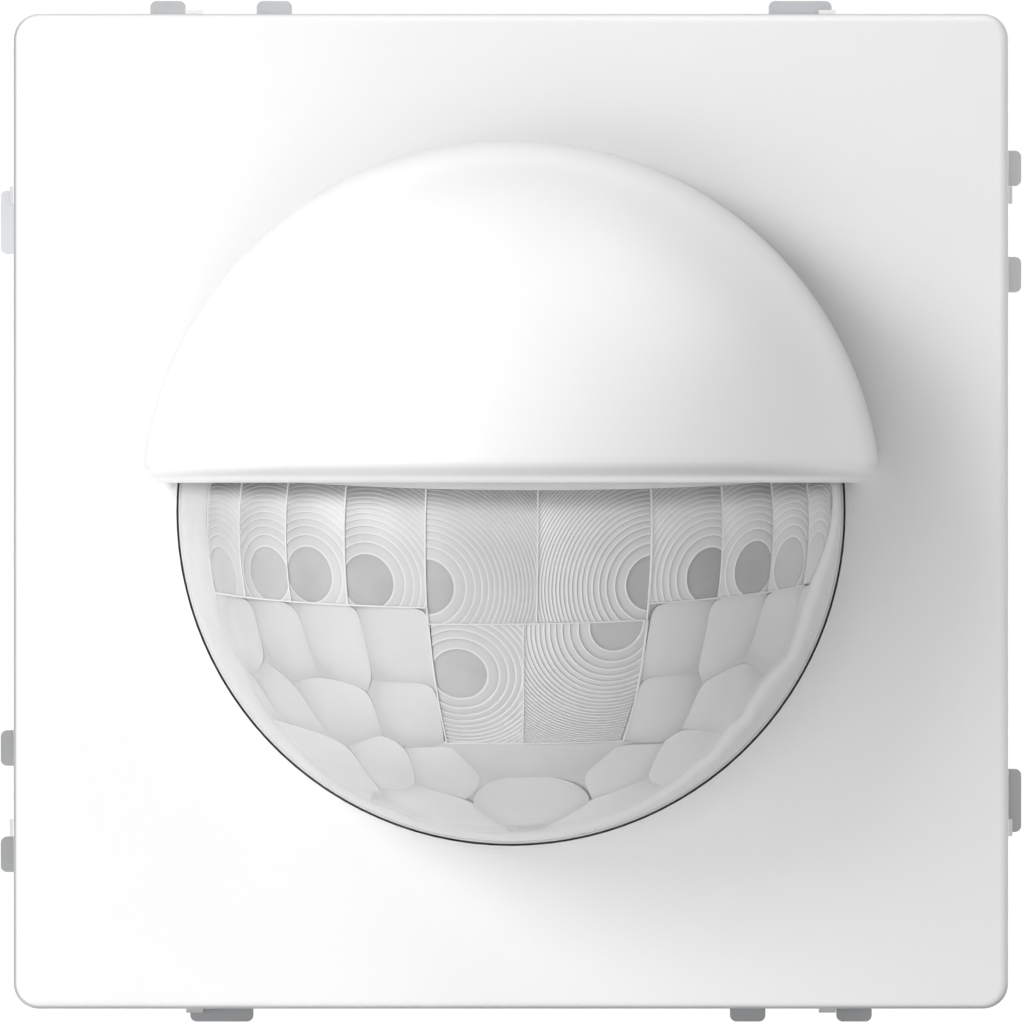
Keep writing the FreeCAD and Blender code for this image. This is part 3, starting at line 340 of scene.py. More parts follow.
M = {
    # white and cover_white get painted shade along outlines, the lower edge and rounded edges;
    # frame_grey gets painted light and shade across its tabs
    "white": plastic("white_gloss", (0.93, 0.93, 0.93), rough=0.32, spread=0.02, vary=0.005,
                     patch=60.0, peel=2e-7, rim=0.58, rim_at=(0.67, 1.0, 1.3), smooth=True,
                     lip_shade=0.42),
    "cover_white": plastic("white_cover", (0.93, 0.93, 0.93), rough=0.34, spread=0.02,
                           vary=0.005, patch=60.0, peel=2e-7, rim=0.32, rim_at=(0.10, 0.6, 1.0),
                           smooth=True, edge=0.72),
    "dome_white": plastic("white_satin", (0.88, 0.88, 0.87), rough=0.36, vary=0.012, depth=4e-6),
    "frame_grey": plastic("frame_grey", (0.64, 0.655, 0.675), rough=0.34, vary=0.06, depth=1e-5,
                          patch=140.0, foot_shade=0.34, right=(0.91, 0.912, 0.918)),
    "lens_milky": milky("lens_milky"),
    "tub_dark": plastic("tub_dark", (0.035, 0.037, 0.042), rough=0.46, vary=0.12, depth=2.2e-5,
                        grain=3400.0),
    "black": plastic("black_plastic", (0.014, 0.014, 0.016), rough=0.38, vary=0.15, depth=8e-6),
    "board": circuit_board("board_green"),
    "pin_metal": metal("pin_gold", (0.78, 0.60, 0.28), rough=0.22, vary=0.06),
    "can_metal": metal("sensor_can", (0.72, 0.71, 0.69), rough=0.24, vary=0.05),
    "copper": winding("copper_winding", (0.62, 0.25, 0.11)),
    "screw_steel": metal("screw_zinc", (0.66, 0.67, 0.69), rough=0.28, vary=0.10, depth=6e-6),
    "steel": metal("ring_zinc", (0.62, 0.63, 0.64), rough=0.36, vary=0.06, spangle=520.0,
                   depth=5e-6),
    "terminal_red": plastic("terminal_red", (0.50, 0.018, 0.02), rough=0.34, vary=0.10,
                            depth=7e-6),
    "terminal_grey": plastic("terminal_grey", (0.045, 0.047, 0.052), rough=0.38, vary=0.12,
                             depth=7e-6),
    "dial_grey": plastic("dial_grey", (0.23, 0.24, 0.26), rough=0.36, vary=0.08, depth=9e-6),
    "chip": plastic("chip_resin", (0.018, 0.018, 0.02), rough=0.5, vary=0.18, depth=1.4e-5),
    "small_parts": plastic("small_parts", (0.32, 0.27, 0.21), rough=0.4, vary=0.25, patch=420.0,
                           depth=1e-5),
    "sleeve": sleeve("capacitor_sleeve"),
    "lamp_red": resin("lamp_red", (0.62, 0.03, 0.025)),
    "sensor_dark": resin("filter_dark", (0.02, 0.018, 0.03)),
    "button": plastic("button_grey", (0.30, 0.31, 0.335), rough=0.3, vary=0.06, depth=6e-6),
}
BY_NODE = {
    "front_cover": "cover_white",
    "settings_dome": "dome_white", "storage_capacitor": "sleeve", "processor": "chip",
    "power_inductor": "chip", "main_board_parts": "small_parts",
    "sensor_board_parts": "small_parts", "program_button": "button",
}
slot_of = {s["node"]: s["material_slot"] for s in frame["record"]["subparts"]}
for name, o in NODE.items():
    mat = M[BY_NODE.get(name, slot_of[name])]
    for s in o.material_slots:
        s.material = mat


# ----------------------------------------------------------------------- lens
# The pattern sits on the ball with its own front axis, a little to the right
# and down. Directions are (right, forward, up) in that tilted frame.
BALL = np.array([0.0, -13.5, 0.0])
R_OUT, R_SKIN, R_LOW, R_IN = 23.2, 22.78, 22.68, 22.5
R_RING, R_LET = 23.04, 23.17
YAW, PITCH = math.radians(4.66), math.radians(4.6)
CY, SY, CP, SP = math.cos(YAW), math.sin(YAW), math.cos(PITCH), math.sin(PITCH)


def ray(az, el):
    a, e = math.radians(az), math.radians(el)
    return np.array([math.sin(a) * math.cos(e), math.cos(a) * math.cos(e), math.sin(e)])


def to_object(q):
    q = np.atleast_2d(q)
    z = q[:, 2] * CP - q[:, 1] * SP
    y1 = q[:, 2] * SP + q[:, 1] * CP
    x = q[:, 0] * CY + y1 * SY
    y = -q[:, 0] * SY + y1 * CY
    return np.stack([x, -y, z], 1)


# planes (n, d): the side n.q >= d is kept
def right_of(az):
    a = math.radians(az)
    return (np.array([math.cos(a), -math.sin(a), 0.0]), 0.0)


def left_of(az):
    n, d = right_of(az)
    return (-n, d)


def above(el):
    return (np.array([0.0, 0.0, 1.0]), math.sin(math.radians(el)))


def below(el):
    return (np.array([0.0, 0.0, -1.0]), -math.sin(math.radians(el)))


def inside_of(p, q):
    """Great circle through two directions; keeps the side of the front."""
    n = np.cross(ray(*p), ray(*q))
    n /= np.linalg.norm(n)
    if n @ ray(0, -20) < 0:
        n = -n
    return (n, 0.0)


def clip(verts, faces, plane):
    """Keeps what lies on the positive side of a plane or of a function."""
    s = plane(verts) if callable(plane) else verts @ plane[0] - plane[1]
    inside = s >= -1e-9
    new, cache, out = [], {}, []

    def cut(i, j):
        key = (i, j) if i < j else (j, i)
        if key not in cache:
            t = s[i] / (s[i] - s[j])
            p = verts[i] + t * (verts[j] - verts[i])
            cache[key] = len(verts) + len(new)
            new.append(p / np.linalg.norm(p))
        return cache[key]

    for f in faces:
        k = [inside[i] for i in f]
        if all(k):
            out.append(f)
        elif any(k):
            g = []
            for a in range(len(f)):
                i, j = f[a], f[(a + 1) % len(f)]
                if inside[i]:
                    g.append(i)
                if inside[i] != inside[j]:
                    c = cut(i, j)
                    if not g or g[-1] != c:
                        g.append(c)
            if len(g) > 1 and g[0] == g[-1]:
                g.pop()
            if len(g) > 2:
                out.append(g)
    if new:
        verts = np.vstack([verts, np.array(new)])
    return verts, out


class Shell:
    """Collects closed pieces into one mesh, with a tone for each vertex."""

    def __init__(self):
        self.v, self.f, self.tone, self.n = [], [], [], 0

    def add(self, points, faces, tones):
        self.v.append(points)
        self.tone.append(tones)
        self.f.extend([[i + self.n for i in f] for f in faces])
        self.n += len(points)

    def tile(self, centre, radii, planes, height, tone, seg=96, low=R_LOW):
        """A closed tile on the ball: a polar net about centre, cut by planes.
        height and tone are functions of the directions."""
        c = centre / np.linalg.norm(centre)
        t1 = np.cross(c, [0.0, 0.0, 1.0])
        t1 /= np.linalg.norm(t1)
        t2 = np.cross(c, t1)
        th = np.linspace(0, 2 * math.pi, seg, endpoint=False)
        rim = np.outer(np.cos(th), t1) + np.outer(np.sin(th), t2)
        verts = [c[None]]
        for r in radii:
            a = r / R_OUT
            verts.append(c * math.cos(a) + rim * math.sin(a))
        verts = np.vstack(verts)
        faces = [[0, 1 + (j + 1) % seg, 1 + j] for j in range(seg)]
        for k in range(len(radii) - 1):
            a, b = 1 + k * seg, 1 + (k + 1) * seg
            faces += [[a + j, a + (j + 1) % seg, b + (j + 1) % seg, b + j] for j in range(seg)]
        self.net(verts, faces, planes, height, tone, low)

    def net(self, verts, faces, planes, height, tone, low=R_LOW):
        for plane in planes:
            verts, faces = clip(verts, faces, plane)
        used = sorted({i for f in faces for i in f})
        if not used:
            return
        where = {u: k for k, u in enumerate(used)}
        verts = verts[used]
        faces = [[where[i] for i in f] for f in faces]
        m = len(verts)
        d = to_object(verts)
        top = BALL + d * height(verts)[:, None]
        bottom = BALL + d * low
        edges = {(f[a], f[(a + 1) % len(f)]) for f in faces for a in range(len(f))}
        walls = [[a + m, b + m, b, a] for a, b in sorted(edges) if (b, a) not in edges]
        # painted light and shade over the whole pattern: lighter towards the right, darker towards
        # the top
        tones = tone(verts) + 0.03 + 0.30 * d[:, 0] - 0.12 * d[:, 2]
        self.add(np.vstack([top, bottom]), faces + walls + [[i + m for i in f[::-1]] for f in faces],
                 np.concatenate([tones, tones * 0]))

    def rib(self, path, width, top, tone, low=R_LOW, rounded=False):
        """A thin strip along directions on the ball."""
        p = np.array(path)
        t = np.gradient(p, axis=0)
        side = np.cross(p, t)
        side /= np.linalg.norm(side, axis=1)[:, None]
        h = width / 2 / R_OUT
        if rounded:
            cuts = [(-1.0, low), (-1.0, top - 0.6 * (top - low) * 0.5), (-0.6, top - 0.02),
                    (0.0, top), (0.6, top - 0.02), (1.0, top - 0.6 * (top - low) * 0.5), (1.0, low)]
        else:
            cuts = [(-1.0, low), (-1.0, top), (1.0, top), (1.0, low)]
        rows = []
        for s, r in cuts:
            q = p + side * (h * s)
            q /= np.linalg.norm(q, axis=1)[:, None]
            rows.append(BALL + to_object(q) * r)
        n, k = len(p), len(cuts)
        pts = np.vstack(rows)
        faces = []
        for i in range(k):
            j = (i + 1) % k
            for a in range(n - 1):
                faces.append([i * n + a, i * n + a + 1, j * n + a + 1, j * n + a])
        faces.append([i * n for i in range(k)])
        faces.append([i * n + n - 1 for i in range(k)][::-1])
        self.add(pts, faces, np.full(len(pts), float(tone)))


def smooth_path(a, b, n=40):
    return [ray(a[0] + (b[0] - a[0]) * t, a[1] + (b[1] - a[1]) * t) for t in np.linspace(0, 1, n)]


shell = Shell()
R1 = 1.97                 # radius of the first ring; the n-th is R1 * sqrt(n)
GROOVE = 0.075
STEP = 0.035


def ring_profile(reach, first, power):
    """Arc radii of the net and, for each, height and tone of the grooves; the tone is a painted
    highlight along each crest and painted shade where each groove bottoms out.
    """
    rows = [(0.0, 0.040, first), (0.5 * R1, 0.032, first), (0.85 * R1, 0.012, first),
            (R1 - 0.12, 0.003, first - 0.08), (R1 - 0.05, 0.0, first - 0.12)]
    n = 1
    while R1 * math.sqrt(n) < reach + 1.0:
        r = R1 * math.sqrt(n)
        gap = R1 * math.sqrt(n + 1) - r - STEP
        k = power * (1.0 if n < 3 else 0.8)
        line = min(0.075, 0.22 * gap)
        rows.append((r, 0.0, -0.34 * k))
        rows.append((r + STEP, GROOVE, 0.66 * k))
        rows.append((r + STEP + line, GROOVE * 0.86, 0.40 * k))
        rows.append((r + STEP + 1.9 * line, GROOVE * 0.72, -0.02))
        if n < 14:
            rows.append((r + STEP + 0.62 * gap, GROOVE * 0.38, -0.04))
        n += 1
    return rows


def facet(centre, planes, reach, first=-0.8, seg=150, power=1.0, mid=0.0, half=6.0,
          lean=0.16, fade=0.0):
    c = ray(*centre)
    rows = ring_profile(reach, first, power)
    rr = np.array([a for a, _, _ in rows])
    hh = np.array([b for _, b, _ in rows])
    tt = np.array([b for _, _, b in rows])
    side = 1.0 if mid < 0 else -1.0

    def arc(q):
        return R_OUT * np.arccos(np.clip(q @ c, -1, 1))

    def across(q):
        """-1 at the facet's border away from the front axis, +1 at the near one"""
        az = np.degrees(np.arctan2(q[:, 0], q[:, 1]))
        return np.clip(side * (az - mid) / half, -1, 1)

    def height(q):
        return R_RING + np.interp(arc(q), rr, hh) - 0.03 * across(q) ** 2

    # painted light and shade: painted shadow of the hood towards the top, a painted band of light
    # below it, painted highlights on the ring crests and shade at their bottoms, fainter away from
    # the disc, and a painted lean from the darker outer border to the lighter near one
    def tone(q):
        el = np.degrees(np.arcsin(np.clip(q[:, 2], -1, 1)))
        a = arc(q)
        shade = np.clip((el - 4.4) / 2.4, 0, 1)
        painted_glow = np.exp(-((el - 2.2) / 2.8) ** 2) * (0.6 + 0.4 * across(q))
        far = np.clip((a - 3.4) / 2.6, 0, 1) * np.clip((5.6 - el) / 2.0, 0, 1)
        rings = np.interp(a, rr, tt)
        rings = np.where(a > R1 - 0.01, rings * (1 - fade * far), rings)
        return (rings + np.where(a < R1 - 0.01, 0.05, lean) * across(q)
                + 0.20 * painted_glow * (a > R1) - 0.80 * shade)

    shell.tile(c, [r for r in rr[1:]], planes, height, tone, seg)


# upper row: boundaries left and right, lower edge, centre of the rings, tone of its disc
# (darker for the thin plastic, with painted shade that differs from disc to disc), strength of its
# rings, lean of its painted shading across it, fading of its painted ring highlights away from the
# disc
TOP = 8.2
ROW = [(-71.6, -60.0, -12.9, (-67.2, -9.4), -0.12, 0.35, 0.12, 0.3),
       (-60.0, -47.6, -12.7, (-52.5, -8.3), -0.32, 0.7, 0.14, 0.6),
       (-47.6, -34.9, -12.6, (-42.7, -7.7), -0.48, 0.75, 0.18, 0.7),
       (-34.9, -19.7, -12.6, (-30.6, -8.4), -0.62, 0.8, 0.18, 0.7),
       (-19.7, 0.0, -15.5, (-19.6, -8.9), -0.60, 0.7, 0.02, 0.75),
       (0.0, 20.4, -15.0, (21.0, -8.2), -0.80, 1.0, 0.16, 0.25),
       (20.4, 35.3, -11.8, (32.8, -7.3), -1.0, 0.95, 0.18, 0.6),
       (35.3, 48.0, -11.3, (43.4, -6.7), -0.80, 0.85, 0.36, 0.5),
       (48.0, 60.0, -10.9, (53.9, -6.7), -0.40, 0.8, 0.22, 0.3),
       (60.0, 72.4, -10.5, (64.5, -6.5), -0.10, 0.6, 0.10, 0.2)]
for a, b, low, c, first, power, lean, fade in ROW:
    reach = max(R_OUT * math.acos(min(1.0, ray(*c) @ ray(x, y))) for x in (a, b) for y in (low, TOP))
    facet(c, [right_of(a), left_of(b), above(low), below(TOP)], reach, first, power=power,
          mid=(a + b) / 2, half=(b - a) / 2, lean=lean, fade=fade)
# the two centre facets of the second row
SECOND = [(-19.2, -2.0, -40.2, -15.5, (-14.4, -25.1), -0.50, 0.9),
          (-2.0, 21.2, -39.9, -15.0, (15.0, -15.6), -0.45, 0.9)]
for a, b, low, high, c, first, power in SECOND:
    reach = max(R_OUT * math.acos(min(1.0, ray(*c) @ ray(x, y))) for x in (a, b) for y in (low, high))
    facet(c, [right_of(a), left_of(b), above(low), below(high)], reach, first, power=power,
          mid=(a + b) / 2, half=(b - a) / 2)

# skirt: the smooth band outside the pattern, in front of the ball's widest
# circle. Its inner edge follows the lenslets: (angle from the front axis,
# angle round it), from the right end by the bottom to the left end.
EDGE = [(72.0, 22), (73.0, 12), (73.6, 3.5), (70.8, -1.7), (66.6, -7.1), (63.8, -11.0),
        (63.2, -13.4), (62.3, -16.5), (62.8, -19.5), (63.6, -24.7), (64.2, -26.7), (61.4, -30.8),
        (59.8, -34.2), (60.5, -38.2), (62.3, -40.9), (61.3, -44.0), (62.6, -47.7), (64.6, -50.6),
        (64.2, -54.5), (66.4, -58.5), (67.4, -62.8), (69.0, -67.2), (70.3, -75.1), (71.9, -82.5),
        (73.0, -90.0), (73.4, -93.4), (74.6, -97.5), (75.8, -101.4), (76.0, -107.9),
        (74.6, -111.0), (75.0, -113.1), (77.0, -118.0), (77.4, -122.0), (76.8, -127.0),
        (75.4, -130.8), (75.0, -133.9), (74.9, -137.1), (75.6, -139.6), (74.1, -143.6),
        (72.2, -148.2), (71.3, -151.9), (72.3, -153.5), (72.5, -157.5), (72.5, -161.0),
        (71.5, -165.2), (72.1, -170.9), (72.1, -176.4), (72.3, -184.0), (72.3, -202.0)]
psi = np.radians(np.arange(22.0, -202.1, -0.75))
the = np.radians(np.interp(-np.degrees(psi), [-p for _, p in EDGE], [t for t, _ in EDGE]))
fwd = -to_object(np.eye(3))[:, 1]          # q . fwd: forward in the object's own frame
up = to_object(np.eye(3))[:, 2]


def polar(t, p):
    return np.stack([np.sin(t) * np.cos(p), np.cos(t) + 0 * p, np.sin(t) * np.sin(p)], -1)


edge_angle = dict(xp=-np.degrees(psi), fp=the)


def from_edge(q):
    """How far a direction lies outside the pattern, in mm along the ball."""
    t = np.arccos(np.clip(q[:, 1], -1, 1))
    p = -np.degrees(np.arctan2(q[:, 2], q[:, 0]))
    p = np.where(p < -25, p + 360, p)
    return R_OUT * (t - np.interp(p, edge_angle["xp"], edge_angle["fp"]))


# lenslets: each has a point c and a number s; the one with the largest
# 2 p.c - s owns the direction p
LETS = {
    "LA2": (-0.37981, 0.82286, -0.33162, 0.95234), "LB2": (-0.61663, 0.69587, -0.35721, 1.00781),
    "LC2": (-0.71102, 0.58396, -0.37022, 0.99619), "LD2": (-0.80529, 0.44434, -0.37916, 1.01515),
    "LA3": (-0.34127, 0.75627, -0.55853, 1.02286), "LB3": (-0.60472, 0.58138, -0.53462, 1.0006),
    "LC3": (-0.65807, 0.43617, -0.51948, 0.90096), "LD3": (-0.74764, 0.36109, -0.53771, 1.00513),
    "LA4": (-0.20816, 0.62331, -0.75449, 1.01409), "LB4": (-0.41513, 0.53327, -0.73426, 1.01952),
    "LC4": (-0.61562, 0.35562, -0.70458, 1.00701), "LA5": (-0.21706, 0.40947, -0.88358, 1.00736),
    "CE": (0.02282, 0.57395, -0.82027, 0.99427), "CB": (0.01204, 0.67215, -0.59131, 0.77837),
    "RA2": (0.41225, 0.84795, -0.32646, 1.03139), "RB2": (0.60318, 0.70841, -0.31896, 1.00897),
    "RC2": (0.75939, 0.54621, -0.33641, 1.02776), "RD2": (0.86125, 0.39581, -0.3315, 1.04829),
    "RA3": (0.36424, 0.75608, -0.54875, 1.0392), "RB3": (0.62466, 0.57777, -0.52715, 1.03772),
    "RC3": (0.70828, 0.5366, -0.4487, 1.03698), "RA4": (0.233, 0.6036, -0.75575, 1.00502),
    "RB4": (0.47089, 0.49182, -0.73142, 1.02965), "RA5": (0.2632, 0.40098, -0.87805, 1.01336),
}
CROWN = 0.38
FRONT = ray(0, -6)
LAP = 0.003                # what each lenslet stands above the one it laps over
names = list(LETS)
cc = np.array([LETS[n][:3] for n in names])
ss = np.array([LETS[n][3] for n in names])
unit = cc / np.linalg.norm(cc, axis=1)[:, None]
peak = 2 * np.linalg.norm(cc, axis=1) - ss
order = np.abs(cc[:, 0]) + np.abs(cc[:, 2])
order[names.index("CB")] = 0.0
rank = np.argsort(np.argsort(order)) / len(names)


def power(q, i):
    return 2 * q @ cc[i] - ss[i]


def envelope(q):
    w = np.exp(90.0 * (q @ unit.T - 1))
    return (w @ peak) / w.sum(1)


def into_skirt(q):
    e = np.clip(from_edge(q) / 1.1 + 1.0, 0, 1)
    return e * e * (3 - 2 * e)


def own(i, flat=1.0):
    def height(q):
        h = R_LET - 0.03 + flat * CROWN * R_OUT * (power(q, i) - envelope(q)) + LAP * 2 * rank[i]
        h = np.clip(h, R_SKIN + 0.02, R_LET)
        e = into_skirt(q)
        return h + e * (R_OUT - 0.088 - h)
    return height


def near_border(q, i, others, wide):
    """1 at the borders to the given neighbours, falling to 0 inside."""
    t = np.zeros(len(q))
    for j in others:
        d = (power(q, i) - power(q, j)) / (2 * np.linalg.norm(cc[i] - cc[j])) * R_OUT
        t += np.exp(-np.clip(d, 0, 9) / wide)
    return np.clip(t, 0, 1.2)


# painted shading of a lenslet: lighter towards the front axis, darker along the borders to its outer
# neighbours, a little lighter along the inner ones, blending into the skirt's tone
def crown_tone(i, inner, outer, extra=0.0, dark=0.29):
    toward = FRONT - unit[i] * (FRONT @ unit[i])
    toward /= np.linalg.norm(toward)

    def tone(q):
        s = (q @ toward) / 0.13
        t = (extra + 0.10 + 0.07 * np.clip(s, -1.4, 1.2) - dark * near_border(q, i, outer, 0.70)
             + 0.08 * near_border(q, i, inner, 0.8))
        return t + 0.7 * into_skirt(q) * (0.22 - t)
    return tone


def outline(i, inner, walls, soft=75.0):
    """The rounded outline of a lenslet towards the ones it laps over."""
    def level(q):
        t = [power(q, i) - power(q, j) for j in inner]
        t += [0.56 * (q @ n - d) for n, d in walls]
        t = np.stack(t, 0)
        return -np.log(np.exp(-soft * np.clip(t, -0.12, 0.12)).sum(0)) / soft
    return level


def oval(q):
    """The outline of the lowest lenslet, flat on its outer side."""
    d = to_object(q) * R_OUT
    return 1 - ((d[:, 0] - 1.45) / 4.1) ** 2 - (np.clip(d[:, 2] + 20.5, 0, 9) / 1.95) ** 2


for i, n in enumerate(names):
    near = [j for j in range(len(names)) if j != i and unit[i] @ unit[j] > 0.6]
    inner = [j for j in near if order[j] < order[i]]
    outer = [j for j in near if order[j] >= order[i]]
    walls = []
    if n[1:] in ("A2", "B2", "C2", "D2"):
        walls.append(below({"LA2": -12.7, "LB2": -12.7, "LC2": -12.8, "LD2": -13.0,
                            "RA2": -11.9, "RB2": -11.4, "RC2": -11.0, "RD2": -10.6}[n]))
    if n in ("LA2", "LA3"):
        walls.append(left_of(-19.3))
    if n in ("RA2", "RA3"):
        walls.append(right_of(21.3))
    if n in ("CB", "LA4", "RA4"):
        walls.append(below(-40.2))
    cuts = [(2 * (cc[i] - cc[j]), ss[i] - ss[j] - (0.16 if n == "CB" else 0.02)) for j in outer]
    cuts.append(lambda q: 0.02 - from_edge(q) / R_OUT)
    extra, start, flat = 0.0, cc[i], 1.0
    if n == "CB":
        extra, start, flat = -0.16, ray(1.0, -44.0), 0.5
    if n == "CE":
        start = ray(1.0, -56.2)
        extra, flat = 0.03, 0.6
    if n == "CB":
        cuts += walls
    elif n == "CE":
        cuts.append(oval)
    elif inner or walls:
        cuts.append(outline(i, inner, walls))
    shell.tile(start, [0.25 * k for k in range(1, 44)], cuts, own(i, flat),
               crown_tone(i, inner, outer, extra, 0.08 if n == "CB" else 0.29), seg=72)

# smooth collar above the pattern, mostly under the hood; its tone is painted pale, painted light
# against the hood's shade
az = np.radians(np.linspace(-70.5, 70.5, 142))
el = np.radians([TOP + 0.05, 8.8, 10.0, 11.5, 13.0, 14.5, 16.0, 18.0])
collar = np.stack([np.stack([np.sin(az) * math.cos(e), np.cos(az) * math.cos(e),
                             np.full_like(az, math.sin(e))], 1) for e in el], 0)
m, n = collar.shape[:2]
shell.net(collar.reshape(-1, 3),
          [[a * n + j, a * n + j + 1, (a + 1) * n + j + 1, (a + 1) * n + j]
           for a in range(m - 1) for j in range(n - 1)],
          [(-up, -4.45 / R_OUT)], lambda q: np.full(len(q), R_OUT - 0.04),
          lambda q: np.full(len(q), 0.85))

# pale lines between the facets
LINE = 0.10
for az, low in ((-71.6, -12.9), (-60.0, -12.8), (-47.6, -12.7), (-34.9, -12.6), (-19.7, -15.5),
                (0.0, -15.2), (20.6, -14.9), (35.3, -11.6), (48.0, -11.1), (60.0, -10.7)):
    shell.rib(smooth_path((az, low), (az, TOP)), LINE, R_RING + GROOVE + 0.03, 0.55)
for a, b in (((-71.6, -12.9), (-19.6, -12.6)), ((20.6, -11.9), (60.0, -10.7)),
             ((-19.6, -15.6), (20.7, -14.9)), ((-19.4, -40.2), (21.8, -39.8))):
    shell.rib(smooth_path(a, b, 80), LINE, R_RING + GROOVE + 0.03, 0.5)
for a, b in (((-19.6, -12.6), (-19.0, -40.2)), ((20.7, -14.9), (21.9, -39.8)),
             ((-2.3, -15.5), (-1.7, -40.2))):
    shell.rib(smooth_path(a, b, 60), LINE, R_RING + GROOVE + 0.03, 0.5)
# the angle at which each meridian reaches the widest circle
end = []
for p in psi:
    t = np.linspace(math.radians(70), math.radians(110), 400)
    y = polar(t, np.full_like(t, p)) @ fwd
    end.append(t[np.argmin(np.abs(y))])
end = np.array(end)
steps = np.array([0.0, 0.02, 0.05, 0.12, 0.22, 0.36, 0.52, 0.68, 0.84, 1.0])
rows = np.stack([polar(the + (end - the) * s, psi) for s in steps], 0)      # (k, n, 3)
k, n = rows.shape[:2]
faces = [[a * n + j, (a + 1) * n + j, (a + 1) * n + j + 1, a * n + j + 1]
         for a in range(k - 1) for j in range(n - 1)]
def skirt_height(q):
    d = np.clip(from_edge(q) / 1.3, 0, 1)
    return R_OUT - 0.085 * (1 - d) ** 2


def skirt_tone(q):
    # a pale band; on the right a painted highlight next to the pattern and painted shade beyond it
    # towards the widest circle
    d = from_edge(q)
    right = np.clip(q[:, 0] * 1.6, 0, 1)
    band = np.clip(d / 0.5, 0, 1) * np.clip((2.2 - d) / 0.8, 0, 1)
    return 0.22 + 0.30 * right * band - 0.26 * right * np.clip((d - 2.0) / 1.2, 0, 1)


shell.net(rows.reshape(-1, 3), faces, [(-up, -4.45 / R_OUT)], skirt_height, skirt_tone)


def lathe(profile, seg, name):
    """Turns (radius, y) points round the Y axis; the first and last on the axis."""
    bm = bmesh.new()
    rings = []
    for r, y in profile:
        if r < 1e-9:
            rings.append([bm.verts.new((0, y * MM, 0))])
        else:
            rings.append([bm.verts.new((r * MM * math.cos(2 * math.pi * k / seg), y * MM,
                                        r * MM * math.sin(2 * math.pi * k / seg)))
                          for k in range(seg)])
    for a, b in zip(rings[:-1], rings[1:]):
        for k in range(seg):
            j = (k + 1) % seg
            if len(a) == 1:
                bm.faces.new((a[0], b[k], b[j]))
            elif len(b) == 1:
                bm.faces.new((a[k], a[j], b[0]))
            else:
                bm.faces.new((a[k], a[j], b[j], b[k]))
    return bm


yb, yt, yr = -13.5, -9.6, -8.6
prof = [(R_SKIN * math.sin(a), yb - R_SKIN * math.cos(a))
        for a in np.radians(np.linspace(0, 90, 64))]
prof[0] = (0.0, yb - R_SKIN)
prof += [(R_OUT, yb), (R_OUT + 0.15, yb + 0.12), (R_OUT + 0.18, yb + 0.4),
         (R_OUT + 0.18, -10.4), (R_OUT + 0.04, -10.2), (R_OUT + 0.04, yt), (25.1, yt), (25.2, yt + 0.1), (25.2, yr - 0.1),
         (25.1, yr), (R_IN, yr), (R_IN, -11.0), (R_IN, yb)]
prof += [(R_IN * math.sin(a), yb - R_IN * math.cos(a)) for a in np.radians(np.linspace(88, 0, 48))]
prof[-1] = (0.0, yb - R_IN)
bm = lathe(prof, 180, "lens")
geom = bm.verts[:] + bm.edges[:] + bm.faces[:]
bmesh.ops.bisect_plane(bm, geom=geom, plane_co=(0, 0, 4.5 * MM), plane_no=(0, 0, 1),
                       clear_outer=True)
bmesh.ops.triangle_fill(bm, edges=[e for e in bm.edges if e.is_boundary], use_beauty=True)
tone_layer = bm.verts.layers.float.new("tone")
for v in bm.verts:
    v[tone_layer] = 0.0
vs = np.vstack(shell.v) * MM
tones = np.concatenate(shell.tone)
made = []
for p, t in zip(vs, tones):
    v = bm.verts.new(p)
    v[tone_layer] = float(t)
    made.append(v)
skipped = 0
for f in shell.f:
    try:
        bm.faces.new([made[i] for i in f])
    except ValueError:
        skipped += 1
bmesh.ops.recalc_face_normals(bm, faces=bm.faces[:])
for f in bm.faces:
    f.smooth = True
me = bpy.data.meshes.new("detection_lens")
bm.to_mesh(me)
bm.free()
me.set_sharp_from_angle(angle=math.radians(24))
me.materials.append(M["lens_milky"])
lens = bpy.data.objects.new("detection_lens", me)
scene.collection.objects.link(lens)
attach(lens, "detector")
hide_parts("lens")
print("lens faces", len(me.polygons), "skipped", skipped)

# ---------------------------------------------------------------------- stage
floor_me = bpy.data.meshes.new("floor")
# behind the object the floor falls away by under a degree, out of the view of
# a camera at the object's own height
floor_me.from_pydata([(-0.9, -1.2, -0.0365), (0.9, -1.2, -0.0365), (0.9, 0.019, -0.0365),
                      (-0.9, 0.019, -0.0365), (0.9, 1.2, -0.0515), (-0.9, 1.2, -0.0515)], [],
                     [(0, 1, 2, 3), (3, 2, 4, 5)])
floor = bpy.data.objects.new("floor", floor_me)
scene.collection.objects.link(floor)
fm = Mat("floor_pale")
fm.colour(fm.mix(fm.span(fm.noise(4.0), 0.3, 0.7), (0.72, 0.72, 0.72), (0.76, 0.76, 0.76)))
fm.rough(fm.span(fm.noise(9.0), 0.3, 0.7, 0.55, 0.7))
floor_me.materials.append(fm.m)
floor.visible_shadow = False
floor.visible_diffuse = False
floor.visible_glossy = False
floor.visible_transmission = False
# the light that comes back up from below is set by a dimmer sheet, which the
# camera doesn't see
under_me = bpy.data.meshes.new("floor_return")
under_me.from_pydata([(-0.9, -1.2, -0.0366), (0.9, -1.2, -0.0366), (0.9, 0.019, -0.0366),
                      (-0.9, 0.019, -0.0366)], [], [(0, 1, 2, 3)])
under = bpy.data.objects.new("floor_return", under_me)
scene.collection.objects.link(under)
um = Mat("floor_return")
um.p.inputs["Base Color"].default_value = (0.50, 0.50, 0.50, 1.0)
um.p.inputs["Roughness"].default_value = 0.6
under_me.materials.append(um.m)
under.visible_shadow = False
under.visible_camera = False


